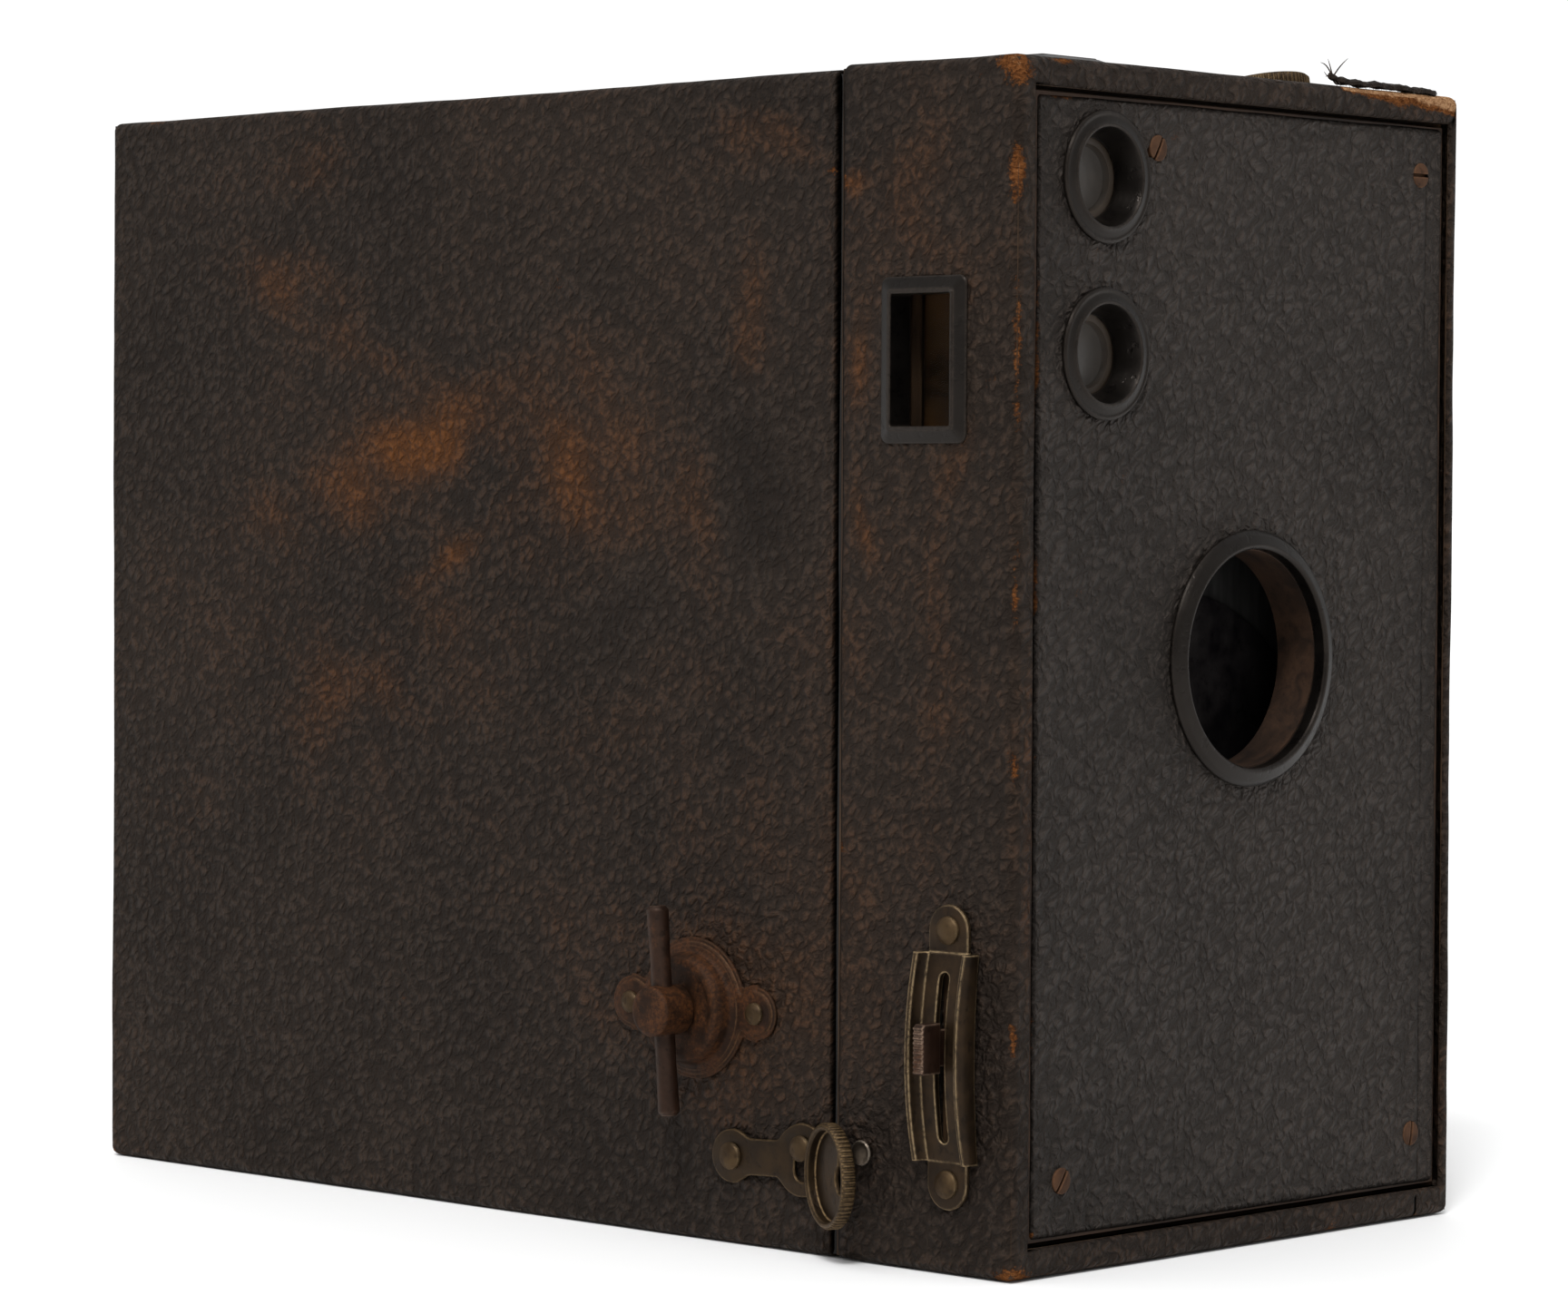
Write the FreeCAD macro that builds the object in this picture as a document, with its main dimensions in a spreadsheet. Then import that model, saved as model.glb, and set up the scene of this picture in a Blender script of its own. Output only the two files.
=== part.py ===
"""A box camera for roll film: a covered rear box and a front section that pulls out with the film carrier.

Frame: +Z up, the lens looks along -Y, the origin is the middle of the base. Millimetres.
"""

import FreeCAD, Part
import os
import re
import Sketcher

doc = FreeCAD.newDocument("box_camera")
sheet = doc.addObject("Spreadsheet::Sheet", "Sizes")

SIZES = {
    # the whole camera
    "width": 80.0,
    "height": 133.0,
    "depth": 154.0,
    "front_depth": 26.2,
    "skin": 0.5,
    "edge_round": 1.2,
    # rear box
    "rear_inset": 0.4,
    "rear_drop": 0.5,
    "seam_gap": 0.4,
    "board": 2.4,
    # front section
    "wall_left": 5.2,
    "wall_right": 4.8,
    "wall_low": 6.0,
    "wall_high": 6.0,
    "rear_board": 3.2,
    "lip_gap": 0.2,
    "lip_wall": 1.0,
    "lip_length": 6.0,
    "screw_block": 7.0,
    # recessed front panel
    "panel_left": 36.3,
    "panel_right": 37.6,
    "panel_low": 4.0,
    "panel_high": 129.1,
    "panel_recess": 0.6,
    "panel_skin": 0.4,
    "panel_board": 2.8,
    "panel_gap": 0.5,
    "screw_head": 1.45,
    "screw_shank": 0.8,
    "screw_length": 7.0,
    "screw_proud": 0.15,
    "screw_sink": 0.6,
    "slot_depth": 0.35,
    "slot_width": 0.4,
    # taking lens and shutter
    "lens_x": 1.6,
    "lens_z": 67.0,
    "bezel_radius": 14.6,
    "bezel_bore": 12.45,
    "bezel_lip": 0.6,
    "wood_bore": 12.3,
    "bezel_proud": 1.2,
    "lens_boss": 17.0,
    "boss_rise": 2.6,
    "block_back": 11.0,
    "lens_radius": 7.5,
    "lens_hole": 6.0,
    "cell_radius": 8.6,
    "cell_flange": 12.0,
    "shutter_front": 13.0,
    "shutter_board": 3.0,
    "disc_front": 12.1,
    "disc_sheet": 0.5,
    "disc_radius": 27.5,
    "disc_z": 47.0,
    "disc_rest": 127.5,
    "spring_coil": 2.6,
    "spring_wire": 0.25,
    "spring_leg": 14.0,
    "pivot_radius": 1.2,
    "running_gap": 0.05,
    "tool_over": 0.5,
    "post_gap": 0.8,
    "opening_gap": 0.5,
    "board_gap": 0.1,
    # stop slide and time slide
    "stop_front": 15.0,
    "stop_sheet": 0.6,
    "stop_width": 14.0,
    "stop_low": 33.0,
    "stop_step": 13.0,
    "stop_neck": 100.0,
    "stop_large": 5.0,
    "stop_medium": 3.5,
    "stop_small": 2.25,
    "tab_width": 7.0,
    "tab_proud": 0.9,
    "time_x": 24.0,
    "time_front": 12.3,
    "time_low": 96.0,
    "slide_gap": 0.15,
    # finders
    "finder_x": 24.6,
    "upper_z": 120.3,
    "lower_z": 100.9,
    "ring_radius": 7.3,
    "ring_tube": 6.4,
    "ring_bore": 5.7,
    "ring_proud": 1.1,
    "ring_bevel": 0.5,
    "ring_lip": 0.4,
    "bezel_bevel": 0.5,
    "ring_throat": 4.4,
    "ring_depth": 2.6,
    "funnel_depth": 0.9,
    "finder_lens": 5.2,
    "finder_lens_back": 4.2,
    "finder_lens_edge": 3.2,
    "finder_lens_crown": 2.65,
    "sleeve_depth": 2.6,
    "upper_mirror_drop": 1.1,
    "lower_mirror_drop": 0.8,
    "window_y": 13.55,
    "window_length": 14.5,
    "window_width": 8.7,
    "window_frame": 1.9,
    "window_proud": 0.8,
    "window_sleeve": 0.6,
    "glass_sheet": 1.0,
    "mirror_sheet": 1.2,
    "mirror_length": 20.5,
    "mirror_width": 10.8,
    "mirror_height": 17.0,
    "finder_wall": 1.0,
    "finder_right": 14.5,
    "finder_low": 88.0,
    "finder_middle": 110.4,
    # shutter lever and its plate on the left side
    "lever_y": 8.9,
    "lever_z": 24.0,
    "lever_pivot": 5.0,
    "lever_sheet": 0.8,
    "lever_boss": 3.2,
    "lever_height": 4.0,
    "lever_reach": 45.6,
    "tip_height": 5.5,
    "tip_sheet": 1.4,
    "tip_rise": 1.2,
    "plate_lobe": 2.85,
    "plate_pitch": 27.8,
    "plate_width": 8.0,
    "plate_length": 22.9,
    "plate_rise": 1.3,
    "plate_sheet": 0.6,
    "plate_trim": 0.3,
    "flange_edge": 3.5,
    "flange_end": 2.1,
    "lever_slot": 1.5,
    "lever_slot_length": 18.7,
    "slot_over": 0.3,
    # latches, sizes from the pivot rivet towards the front
    "latch_sheet": 0.5,
    "latch_lift": 0.1,
    "latch_lobe": 3.05,
    "latch_waist": 4.1,
    "latch_guide": 11.05,
    "guide_angle": 9.4,
    "guide_travel": 13.6,
    "guide_shank": 1.1,
    "guide_half": 1.2,
    "guide_head": 1.5,
    "crescent": 4.15,
    "cup_start": 12.95,
    "cup_radius": 5.85,
    "cup_drop": 0.4,
    "cup_wall": 0.75,
    "cup_height": 1.6,
    "side_tilt": 25.0,
    "top_tilt": 10.5,
    "stud_reach": 21.0,
    "stud_rise": 2.35,
    "stud_head": 1.4,
    "stud_shank": 0.7,
    "rivet_depth": 2.2,
    "stud_sheet": 0.4,
    "side_stud": 1.5,
    "top_stud": 0.8,
    "side_latch_y": 42.0,
    "side_latch_z": 10.2,
    "top_latch_x": 32.0,
    "bend_flat": 1.2,
    "keyhole_rise": 0.6,
    "keyhole_gap": 0.3,
    "keyhole_over": 0.2,
    # winding key
    "key_y": 48.3,
    "key_z": 26.6,
    "escutcheon": 8.05,
    "ear_reach": 9.95,
    "ear_radius": 3.0,
    "boss_radius": 6.4,
    "boss_proud": 3.0,
    "sheet": 0.6,
    "washer_radius": 5.5,
    "washer_rise": 1.0,
    "washer_edge": 0.4,
    "washer_flat": 1.2,
    "hub_round": 0.5,
    "hub_gap": 0.2,
    "key_shaft": 2.25,
    "key_hub": 2.85,
    "hub_end": 7.8,
    "rod_proud": 5.3,
    "rod_radius": 1.25,
    "rod_round": 0.5,
    "rod_length": 23.9,
    "rod_lean": 5.0,
    "blade_width": 4.0,
    "blade_sheet": 1.3,
    "blade_end": 33.4,
    "blade_gap": 0.15,
    "blade_reach": 0.2,
    # film spools, rollers and carrier
    "supply_z": 106.4,
    "spool_end": 34.2,
    "flange_face": 32.9,
    "flange_sheet": 0.7,
    "flange_radius": 13.5,
    "core_radius": 5.5,
    "spool_pin": 1.5,
    "pin_length": 3.0,
    "pin_gap": 0.3,
    "bracket_inner": 34.4,
    "bracket_sheet": 0.8,
    "bracket_half": 6.0,
    "bracket_end": 55.0,
    "notch_half": 3.2,
    "gate_front": 140.0,
    "gate_sheet": 3.0,
    "gate_half": 33.2,
    "gate_opening": 31.75,
    "gate_tall": 54.0,
    "gate_margin": 2.4,
    "roller_radius": 2.4,
    "axle_radius": 1.0,
    "roller_y": 143.0,
    "roller_z": 59.0,
    "roller_half": 31.6,
    "roller_gap": 0.2,
    "cone_wall": 1.2,
    "cone_start": 15.0,
    "cone_half": 13.0,
    # back and base fittings
    "red_z": 60.0,
    "red_glass": 6.0,
    "red_ring": 8.2,
    "bush_radius": 7.0,
    "bush_barrel": 5.0,
    "bush_length": 4.6,
    "bush_flange": 0.5,
    "bush_sink": 0.1,
    "back_ring_wall": 0.9,
    "back_ring_lip": 0.6,
    "back_ring_proud": 0.7,
    "back_glass": 1.0,
    "thread_radius": 2.55,
    "bush_y": 5.0,
    "strap_width": 13.0,
    "strap_half": 42.0,
    "strap_sheet": 1.5,
    "strap_rise": 1.2,
    "strap_flat": 14.0,
    "strap_bend": 6.0,
    "strap_gap": 0.05,
    "keeper_reach": 37.0,
    "keeper_half": 2.5,
    "keeper_foot": 4.2,
    "keeper_wall": 0.8,
    "keeper_rise": 0.7,
    "keeper_pin": 2.5,
    "strap_y": 12.0,
    "rivet_head": 1.6,
    "rivet_rise": 0.8,
    "rivet_shank": 0.9,
    "small_head": 1.3,
}

PLACES = {
    "front_y": "(-depth/2)",
    "back_y": "(depth/2)",
    "seam_y": "(front_depth-depth/2)",
    "rear_start": "(front_depth-depth/2+seam_gap)",
    "rear_x": "(width/2-rear_inset)",
    "rear_top": "(height-rear_drop)",
    "side_x": "(width/2)",
    "panel_y": "(panel_recess-depth/2)",
    "panel_back": "(panel_recess+panel_skin+panel_board-depth/2)",
    "cavity_back": "(front_depth-rear_board-depth/2)",
    "middle_z": "((height-rear_drop)/2)",
}

for row, (alias, value) in enumerate(SIZES.items(), start=1):
    sheet.set(f"A{row}", alias)
    sheet.set(f"B{row}", str(value))
    sheet.setAlias(f"B{row}", alias)
doc.recompute()

AXES = {  # where a piece's own x, y and z axes point
    "up": ((1, 0, 0), (0, 1, 0), (0, 0, 1)),
    "down": ((1, 0, 0), (0, -1, 0), (0, 0, -1)),
    "front": ((1, 0, 0), (0, 0, 1), (0, -1, 0)),
    "back": ((-1, 0, 0), (0, 0, 1), (0, 1, 0)),
    "left": ((0, -1, 0), (0, 0, 1), (-1, 0, 0)),
    "right": ((0, 1, 0), (0, 0, 1), (1, 0, 0)),
    "top": ((0, -1, 0), (1, 0, 0), (0, 0, 1)),
}

nodes = {}


def size(alias):
    return float(sheet.get(alias))


def linked(text):
    """The text as an expression: place words are written out, and sheet aliases get the sheet's name."""
    for word, meaning in PLACES.items():
        text = re.sub(rf"\b{word}\b", meaning, text)
    return re.sub(r"[a-z][a-z_0-9]*", lambda m: "Sizes." + m[0] if m[0] in SIZES else m[0], text)


def bind(thing, **properties):
    for name, text in properties.items():
        thing.setExpression(name, linked(text))
    return thing


def place(thing, at, facing="up", turn=0.0):
    """Puts a piece's own origin at a point, facing a side, turned about its own z axis."""
    x, y, z = (FreeCAD.Vector(*axis) for axis in AXES[facing])
    aim = FreeCAD.Rotation(x, y, z, "ZXY")
    spin = FreeCAD.Rotation(FreeCAD.Vector(0, 0, 1), turn)
    thing.Placement = FreeCAD.Placement(FreeCAD.Vector(), aim.multiply(spin))
    for axis, text in zip("xyz", at):
        thing.setExpression(f"Placement.Base.{axis}", linked(text))
    return thing


def block(label, low, high):
    """A box between two corners."""
    made = doc.addObject("Part::Box", label)
    spans = [f"({b})-({a})" for a, b in zip(low, high)]
    bind(made, Length=spans[0], Width=spans[1], Height=spans[2])
    return place(made, low)


def rod(label, radius, length, at=("0", "0", "0"), facing="up"):
    made = bind(doc.addObject("Part::Cylinder", label), Radius=radius, Height=length)
    return place(made, at, facing)


def dome(label, radius, rise, base="0"):
    """A low spherical cap that stands on the plane z = base and bulges along z."""
    made = doc.addObject("Part::Sphere", label)
    ball = f"((({radius})^2+({rise})^2)/(2*({rise})))"
    bind(made, Radius=ball, Angle1=f"asin((({radius})^2-({rise})^2)/(({radius})^2+({rise})^2))")
    return place(made, ("0", "0", f"({base})+({rise})-{ball}"))


def fuse(label, *shapes):
    made = doc.addObject("Part::MultiFuse", label)
    made.Shapes = list(shapes)
    return made


def cut(label, base, *tools):
    made = doc.addObject("Part::Cut", label)
    made.Base = base
    made.Tool = tools[0] if len(tools) == 1 else fuse(label + "_tools", *tools)
    return made


def common(label, first, second):
    made = doc.addObject("Part::Common", label)
    made.Base, made.Tool = first, second
    return made


def rounded(label, base, sharp_y):
    """A box with every edge rounded, apart from those on the plane y = sharp_y."""
    doc.recompute()
    radius = size("edge_round")
    edges = []
    for index, edge in enumerate(base.Shape.Edges, start=1):
        if not all(abs(v.Point.y - sharp_y) < 0.01 for v in edge.Vertexes):
            edges.append((index, radius, radius))
    made = doc.addObject("Part::Fillet", label)
    made.Base = base
    made.Edges = edges
    return made


def origin_plane(body, role):
    return next(f for f in body.Origin.OriginFeatures if f.Role == role)


def outline(body, name, plane, points):
    """A closed sketch of straight lines, each corner held by its distances from the origin."""
    sketch = body.newObject("Sketcher::SketchObject", name)
    sketch.AttachmentSupport = [(origin_plane(body, plane), "")]
    sketch.MapMode = "FlatFace"
    count = len(points)
    spread = [FreeCAD.Vector(10 + 5 * (i % 3), 3 * i, 0) for i in range(count)]
    for i in range(count):
        sketch.addGeometry(Part.LineSegment(spread[i], spread[(i + 1) % count]), False)
    for i in range(count):
        sketch.addConstraint(Sketcher.Constraint("Coincident", i, 2, (i + 1) % count, 1))
    for i, (across, along) in enumerate(points):
        for kind, text in (("DistanceX", across), ("DistanceY", along)):
            number = sketch.addConstraint(Sketcher.Constraint(kind, -1, 1, i, 1, 1.0))
            sketch.setExpression(f"Constraints[{number}]", linked(text))
    return sketch


def turned(label, profile, at=("0", "0", "0"), facing="up"):
    """A lathe-turned piece: profile is (radius, height) corners, turned about the piece's own z axis."""
    body = doc.addObject("PartDesign::Body", label)
    sketch = outline(body, label + "_profile", "XZ_Plane", profile)
    spun = body.newObject("PartDesign::Revolution", label + "_turned")
    spun.Profile = sketch
    spun.ReferenceAxis = (sketch, ["V_Axis"])
    spun.Angle = 360
    return place(body, at, facing)


def held(label, piece):
    """Wraps a finished piece, so that it can be placed again as a whole."""
    made = doc.addObject("Part::Compound", label)
    made.Links = [piece]
    return made


def sheet_plate(label, points, thickness, at=("0", "0", "0"), facing="up"):
    """A flat plate of any straight-sided outline, standing on its own xy plane."""
    body = doc.addObject("PartDesign::Body", label)
    sketch = outline(body, label + "_outline", "XY_Plane", points)
    pad = body.newObject("PartDesign::Pad", label + "_pad")
    pad.Profile = sketch
    pad.setExpression("Length", linked(thickness))
    return place(body, at, facing)


def beside(at, facing, across, along="0", out="0"):
    """The point that lies across, along and out from a point, in a facing's own directions."""
    spot = []
    for i, start in enumerate(at):
        steps = [f"({step})*({axis[i]})" for step, axis in zip((across, along, out), AXES[facing]) if axis[i]]
        spot.append("+".join([f"({start})"] + steps))
    return tuple(spot)


def rivet(label, at, facing, head="rivet_head", shank="rivet_shank", lift="0"):
    """A domed head, lifted off the surface by the sheet it holds, with a shank behind it."""
    cap = dome(label + "_head", head, "rivet_rise", lift)
    stem = rod(label + "_stem", shank, f"rivet_depth+{lift}", ("0", "0", "-rivet_depth"))
    return place(fuse(label, cap, stem), at, facing)


def softened(label, base, alias):
    """A round piece with its circular edges rounded."""
    doc.recompute()
    radius = size(alias)
    made = doc.addObject("Part::Fillet", label)
    made.Base = base
    made.Edges = [
        (index, radius, radius)
        for index, edge in enumerate(base.Shape.Edges, start=1)
        if isinstance(edge.Curve, Part.Circle)
    ]
    return made


def node(label, made):
    """Names a finished sub-part."""
    made.Label = label
    nodes[label] = made
    return made


def group(label, pieces):
    """Identical small pieces that share a sub-part as separate solids."""
    made = doc.addObject("Part::Compound", label)
    made.Links = pieces
    return node(label, made)


# ---------------------------------------------------------------- latches

def arc_slot(label, radius, start, sweep, half):
    """The tool for a round-ended slot that follows an arc about the origin."""
    height = "latch_sheet+2"
    outer = bind(rod(label + "_outer", f"({radius})+{half}", height), Angle=sweep)
    inner = rod(label + "_inner", f"({radius})-{half}", height)
    band = cut(label + "_band", outer, inner)
    band.setExpression("Placement.Rotation.Angle", linked(start))
    band.setExpression("Placement.Base.z", "-1")
    ends = []
    for name, angle in (("_first", start), ("_last", f"({start})+({sweep})")):
        at = (f"({radius})*cos({angle})", f"({radius})*sin({angle})", "-1")
        ends.append(rod(label + name, half, height, at))
    return fuse(label, band, *ends)


def latch(label, tilt, at, facing):
    """A dog-bone spring plate on a pivot rivet, ending in a knurled cup that is sprung up by the tilt."""
    lobe = rod(label + "_lobe", "latch_lobe", "latch_sheet")
    waist = block(
        label + "_waist", ("0", "-latch_waist/2", "0"), ("latch_guide", "latch_waist/2", "latch_sheet")
    )
    middle = "(guide_angle-guide_travel/2)"
    crescent_at = (f"latch_guide*cos{middle}", f"latch_guide*sin{middle}", "0")
    crescent = rod(label + "_crescent", "crescent", "latch_sheet", crescent_at)
    beyond_bend = block(
        label + "_beyond_bend",
        ("cup_start+bend_flat", "-crescent-1", "-1"),
        ("cup_start+2*crescent", "crescent+1", "1"),
    )
    pivot_hole = rod(label + "_pivot_hole", "rivet_shank+running_gap", "latch_sheet+2", ("0", "0", "-1"))
    swept_from = "guide_angle-guide_travel"
    guide = arc_slot(label + "_guide", "latch_guide", swept_from, "guide_travel", "guide_half")
    sheet_outline = fuse(label + "_sheet", lobe, waist, crescent)
    flat = cut(label + "_flat", sheet_outline, pivot_hole, guide, beyond_bend)

    centre = ("cup_radius", "-cup_drop", "0")
    disc = rod(label + "_cup_disc", "cup_radius", "cup_height", centre)
    hollow = rod(
        label + "_cup_hollow", "cup_radius-cup_wall", "cup_height", ("cup_radius", "-cup_drop", "latch_sheet")
    )
    stud_x = "stud_reach-cup_start"
    throat_half = "(stud_shank+keyhole_gap/3)"
    entry_at = (stud_x, "-keyhole_rise", "-tool_over")
    entry = rod(label + "_entry", "stud_head+keyhole_gap", "latch_sheet+1", entry_at)
    throat = block(
        label + "_throat",
        (f"{stud_x}-{throat_half}", "-keyhole_rise", "-tool_over"),
        (f"{stud_x}+{throat_half}", "stud_rise+keyhole_over", "latch_sheet+tool_over"),
    )
    cup = cut(label + "_cup", disc, hollow, entry, throat)
    lift = FreeCAD.Rotation(FreeCAD.Vector(0, 1, 0), -size(tilt))
    cup.Placement = FreeCAD.Placement(FreeCAD.Vector(), lift)
    cup.setExpression("Placement.Base.x", linked("cup_start"))
    return node(label, place(fuse(label, flat, cup), at, facing))


def latch_rivets(label, pivot, facing):
    """The pivot rivet, and the guide rivet that the curved slot runs along."""
    lift = "latch_lift+latch_sheet+running_gap"
    guide_at = beside(pivot, facing, "latch_guide*cos(guide_angle)", "latch_guide*sin(guide_angle)")
    return [
        rivet(label + "_pivot", pivot, facing, lift=lift),
        rivet(label + "_guide", guide_at, facing, "guide_head", "guide_shank", lift),
    ]


def latch_stud(label, at, facing, proud):
    """The headed stud that the cup's keyhole hooks over."""
    head = rod(label + "_head", "stud_head", "stud_sheet", ("0", "0", f"{proud}-stud_sheet"))
    shank = rod(label + "_shank", "stud_shank", f"{proud}+rivet_depth", ("0", "0", "-rivet_depth"))
    return place(fuse(label, head, shank), at, facing)


SIDE_PIVOT = ("-rear_x", "front_y+side_latch_y", "side_latch_z")
TOP_PIVOT = ("top_latch_x", "front_y+side_latch_y", "rear_top")

latch("side_latch", "side_tilt", beside(SIDE_PIVOT, "left", "0", out="latch_lift"), "left")
latch("top_latch", "top_tilt", beside(TOP_PIVOT, "top", "0", out="latch_lift"), "top")
side_latch_rivets = latch_rivets("side_latch", SIDE_PIVOT, "left")
top_latch_rivets = latch_rivets("top_latch", TOP_PIVOT, "top")
group("latch_rivets", side_latch_rivets + top_latch_rivets)

side_stud_at = ("-side_x", "front_y+side_latch_y-stud_reach", "side_latch_z+stud_rise")
top_stud_at = ("top_latch_x+stud_rise", "front_y+side_latch_y-stud_reach", "height")
side_stud = latch_stud("side_stud_piece", side_stud_at, "left", "side_stud")
top_stud = latch_stud("top_stud_piece", top_stud_at, "top", "top_stud")
group("latch_studs", [side_stud, top_stud])


# ---------------------------------------------------------------- winding key

KEY_AT = ("-rear_x", "front_y+key_y", "key_z")

escutcheon_disc = rod("escutcheon_disc", "escutcheon", "sheet")
ears = [
    rod("escutcheon_front_ear", "ear_radius", "sheet", ("ear_reach", "0", "0")),
    rod("escutcheon_rear_ear", "ear_radius", "sheet", ("-ear_reach", "0", "0")),
]
bridge = block(
    "escutcheon_bridge", ("-ear_reach", "-ear_radius*0.8", "0"), ("ear_reach", "ear_radius*0.8", "sheet")
)
escutcheon_boss = turned(
    "escutcheon_boss",
    [
        ("boss_radius-sheet", "0"),
        ("boss_radius", "0"),
        ("boss_radius", "boss_proud-sheet"),
        ("boss_radius-sheet", "boss_proud"),
        ("key_shaft+running_gap", "boss_proud"),
        ("key_shaft+running_gap", "boss_proud-sheet"),
        ("boss_radius-sheet", "boss_proud-sheet"),
    ],
)
well = rod("escutcheon_well", "boss_radius-sheet/2", "3*sheet", ("0", "0", "-sheet"))
ear_rivets = [
    rivet(f"ear_rivet_{name}", beside(KEY_AT, "left", f"{sign}ear_reach"), "left", "small_head", lift="sheet")
    for name, sign in (("front", ""), ("rear", "-"))
]
plate = cut("escutcheon_plate", fuse("escutcheon_sheet", escutcheon_disc, bridge, *ears), well)
escutcheon = place(fuse("escutcheon_whole", plate, escutcheon_boss), KEY_AT, "left")
node("key_escutcheon", cut("escutcheon_drilled", escutcheon, *ear_rivets))
group("escutcheon_rivets", ear_rivets)

node(
    "key_washer",
    turned(
        "key_washer_turned",
        [
            ("key_shaft+running_gap", "sheet"),
            ("washer_radius", "sheet"),
            ("washer_radius", "sheet+washer_edge"),
            ("key_shaft+washer_flat", "sheet+washer_rise"),
            ("key_shaft+running_gap", "sheet+washer_rise"),
        ],
        KEY_AT,
        "left",
    ),
)

key_turned = turned(
    "key_turned",
    [
        ("0", "-skin-board"),
        ("key_shaft", "-skin-board"),
        ("key_shaft", "boss_proud+hub_gap"),
        ("key_hub", "boss_proud+hub_gap"),
        ("key_hub", "hub_end-hub_round"),
        ("key_hub-hub_round", "hub_end"),
        ("0", "hub_end"),
    ],
)
blade = block(
    "key_blade",
    ("-blade_width/2", "-blade_sheet/2", "blade_end-rear_x"),
    ("blade_width/2", "blade_sheet/2", "-skin-board+tool_over"),
)
key_hub = place(fuse("key_hub_whole", key_turned, blade), KEY_AT, "left")
cross_rod = softened("cross_rod_soft", rod("cross_rod", "rod_radius", "rod_length"), "rod_round")
place(cross_rod, ("0", "-rod_length/2", "rod_proud"), "back")
crossbar = held("crossbar", cross_rod)
node("key_crossbar", place(crossbar, KEY_AT, "left", size("rod_lean")))
node("key_hub", cut("key_hub_bored", key_hub, crossbar))


# ---------------------------------------------------------------- rear box

def side_rod(label, radius, start, end, at_y, at_z, facing):
    """A straight hole's tool through a side wall, from start to end outwards of the side's face."""
    face = "-rear_x" if facing == "left" else "rear_x"
    at = beside((face, at_y, at_z), facing, "0", out=start)
    return rod(label, radius, f"({end})-({start})", at, facing)


rear_outer = rounded(
    "rear_outer_rounded",
    block("rear_outer", ("-rear_x", "rear_start", "0"), ("rear_x", "back_y", "rear_top")),
    size("front_depth") - size("depth") / 2 + size("seam_gap"),
)
rear_board = block(
    "rear_board",
    ("-rear_x+skin", "rear_start", "skin"),
    ("rear_x-skin", "back_y-skin", "rear_top-skin"),
)
rear_hollow = block(
    "rear_hollow",
    ("-rear_x+skin+board", "rear_start-1", "skin+board"),
    ("rear_x-skin-board", "back_y-skin-board", "rear_top-skin-board"),
)

bush_profile = [
    ("thread_radius", "-bush_length"),
    ("bush_barrel", "-bush_length"),
    ("bush_barrel", "-bush_sink-bush_flange"),
    ("bush_radius", "-bush_sink-bush_flange"),
    ("bush_radius", "-bush_sink"),
    ("thread_radius", "-bush_sink"),
]
base_bush = turned("base_bush_turned", bush_profile, ("0", "bush_y", "0"), "down")
side_bush = turned("side_bush_turned", bush_profile, ("rear_x", "bush_y", "middle_z"), "right")
node("base_tripod_bush", base_bush)
node("side_tripod_bush", side_bush)
bush_holes = [
    rod("base_bush_hole", "bush_radius", "1.2", ("0", "bush_y", "bush_sink+bush_flange"), "down"),
    rod("base_bush_bore", "bush_barrel", "bush_length", ("0", "bush_y", "bush_length"), "down"),
    rod(
        "side_bush_hole",
        "bush_radius",
        "1.2",
        ("rear_x-bush_sink-bush_flange", "bush_y", "middle_z"),
        "right",
    ),
    rod("side_bush_bore", "bush_barrel", "5", ("rear_x-bush_length", "bush_y", "middle_z"), "right"),
]

WINDOW_AT = ("0", "back_y", "red_z")
red_ring = turned(
    "red_ring_turned",
    [
        ("red_glass-back_ring_lip", "-skin-board"),
        ("red_glass+back_ring_wall", "-skin-board"),
        ("red_glass+back_ring_wall", "0"),
        ("red_ring", "0"),
        ("red_ring-0.4", "back_ring_proud"),
        ("red_glass+0.2", "back_ring_proud"),
        ("red_glass-back_ring_lip", "back_ring_proud-back_ring_lip"),
        ("red_glass-back_ring_lip", "-back_ring_wall"),
        ("red_glass", "-back_ring_wall"),
        ("red_glass", "-back_ring_wall-back_glass"),
        ("red_glass-back_ring_lip", "-back_ring_wall-back_glass"),
    ],
    WINDOW_AT,
    "back",
)
node("red_window_ring", red_ring)
red_glass_at = beside(WINDOW_AT, "back", "0", out="-back_ring_wall-back_glass")
node("red_window", rod("red_window_disc", "red_glass", "back_glass", red_glass_at, "back"))
red_hole_at = beside(WINDOW_AT, "back", "0", out="-3.5")
red_hole = rod("red_hole", "red_glass+back_ring_wall", "4", red_hole_at, "back")

key_hole = rod("key_hole", "key_shaft+running_gap", "4", beside(KEY_AT, "left", "0", out="-3.5"), "left")

STRAP_AT = ("0", "strap_y", "rear_top")
strap = sheet_plate(
    "strap_side",
    [
        ("-strap_half", "strap_gap"),
        ("-strap_half+strap_flat", "strap_gap"),
        ("-strap_half+strap_flat+strap_bend", "strap_rise"),
        ("strap_half-strap_flat-strap_bend", "strap_rise"),
        ("strap_half-strap_flat", "strap_gap"),
        ("strap_half", "strap_gap"),
        ("strap_half", "strap_sheet"),
        ("strap_half-strap_flat", "strap_sheet"),
        ("strap_half-strap_flat-strap_bend", "strap_rise+strap_sheet"),
        ("-strap_half+strap_flat+strap_bend", "strap_rise+strap_sheet"),
        ("-strap_half+strap_flat", "strap_sheet"),
        ("-strap_half", "strap_sheet"),
    ],
    "strap_width",
)
place(strap, ("-strap_width/2", "strap_y", "rear_top"), "right")
node("carrying_strap", strap)


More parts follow.
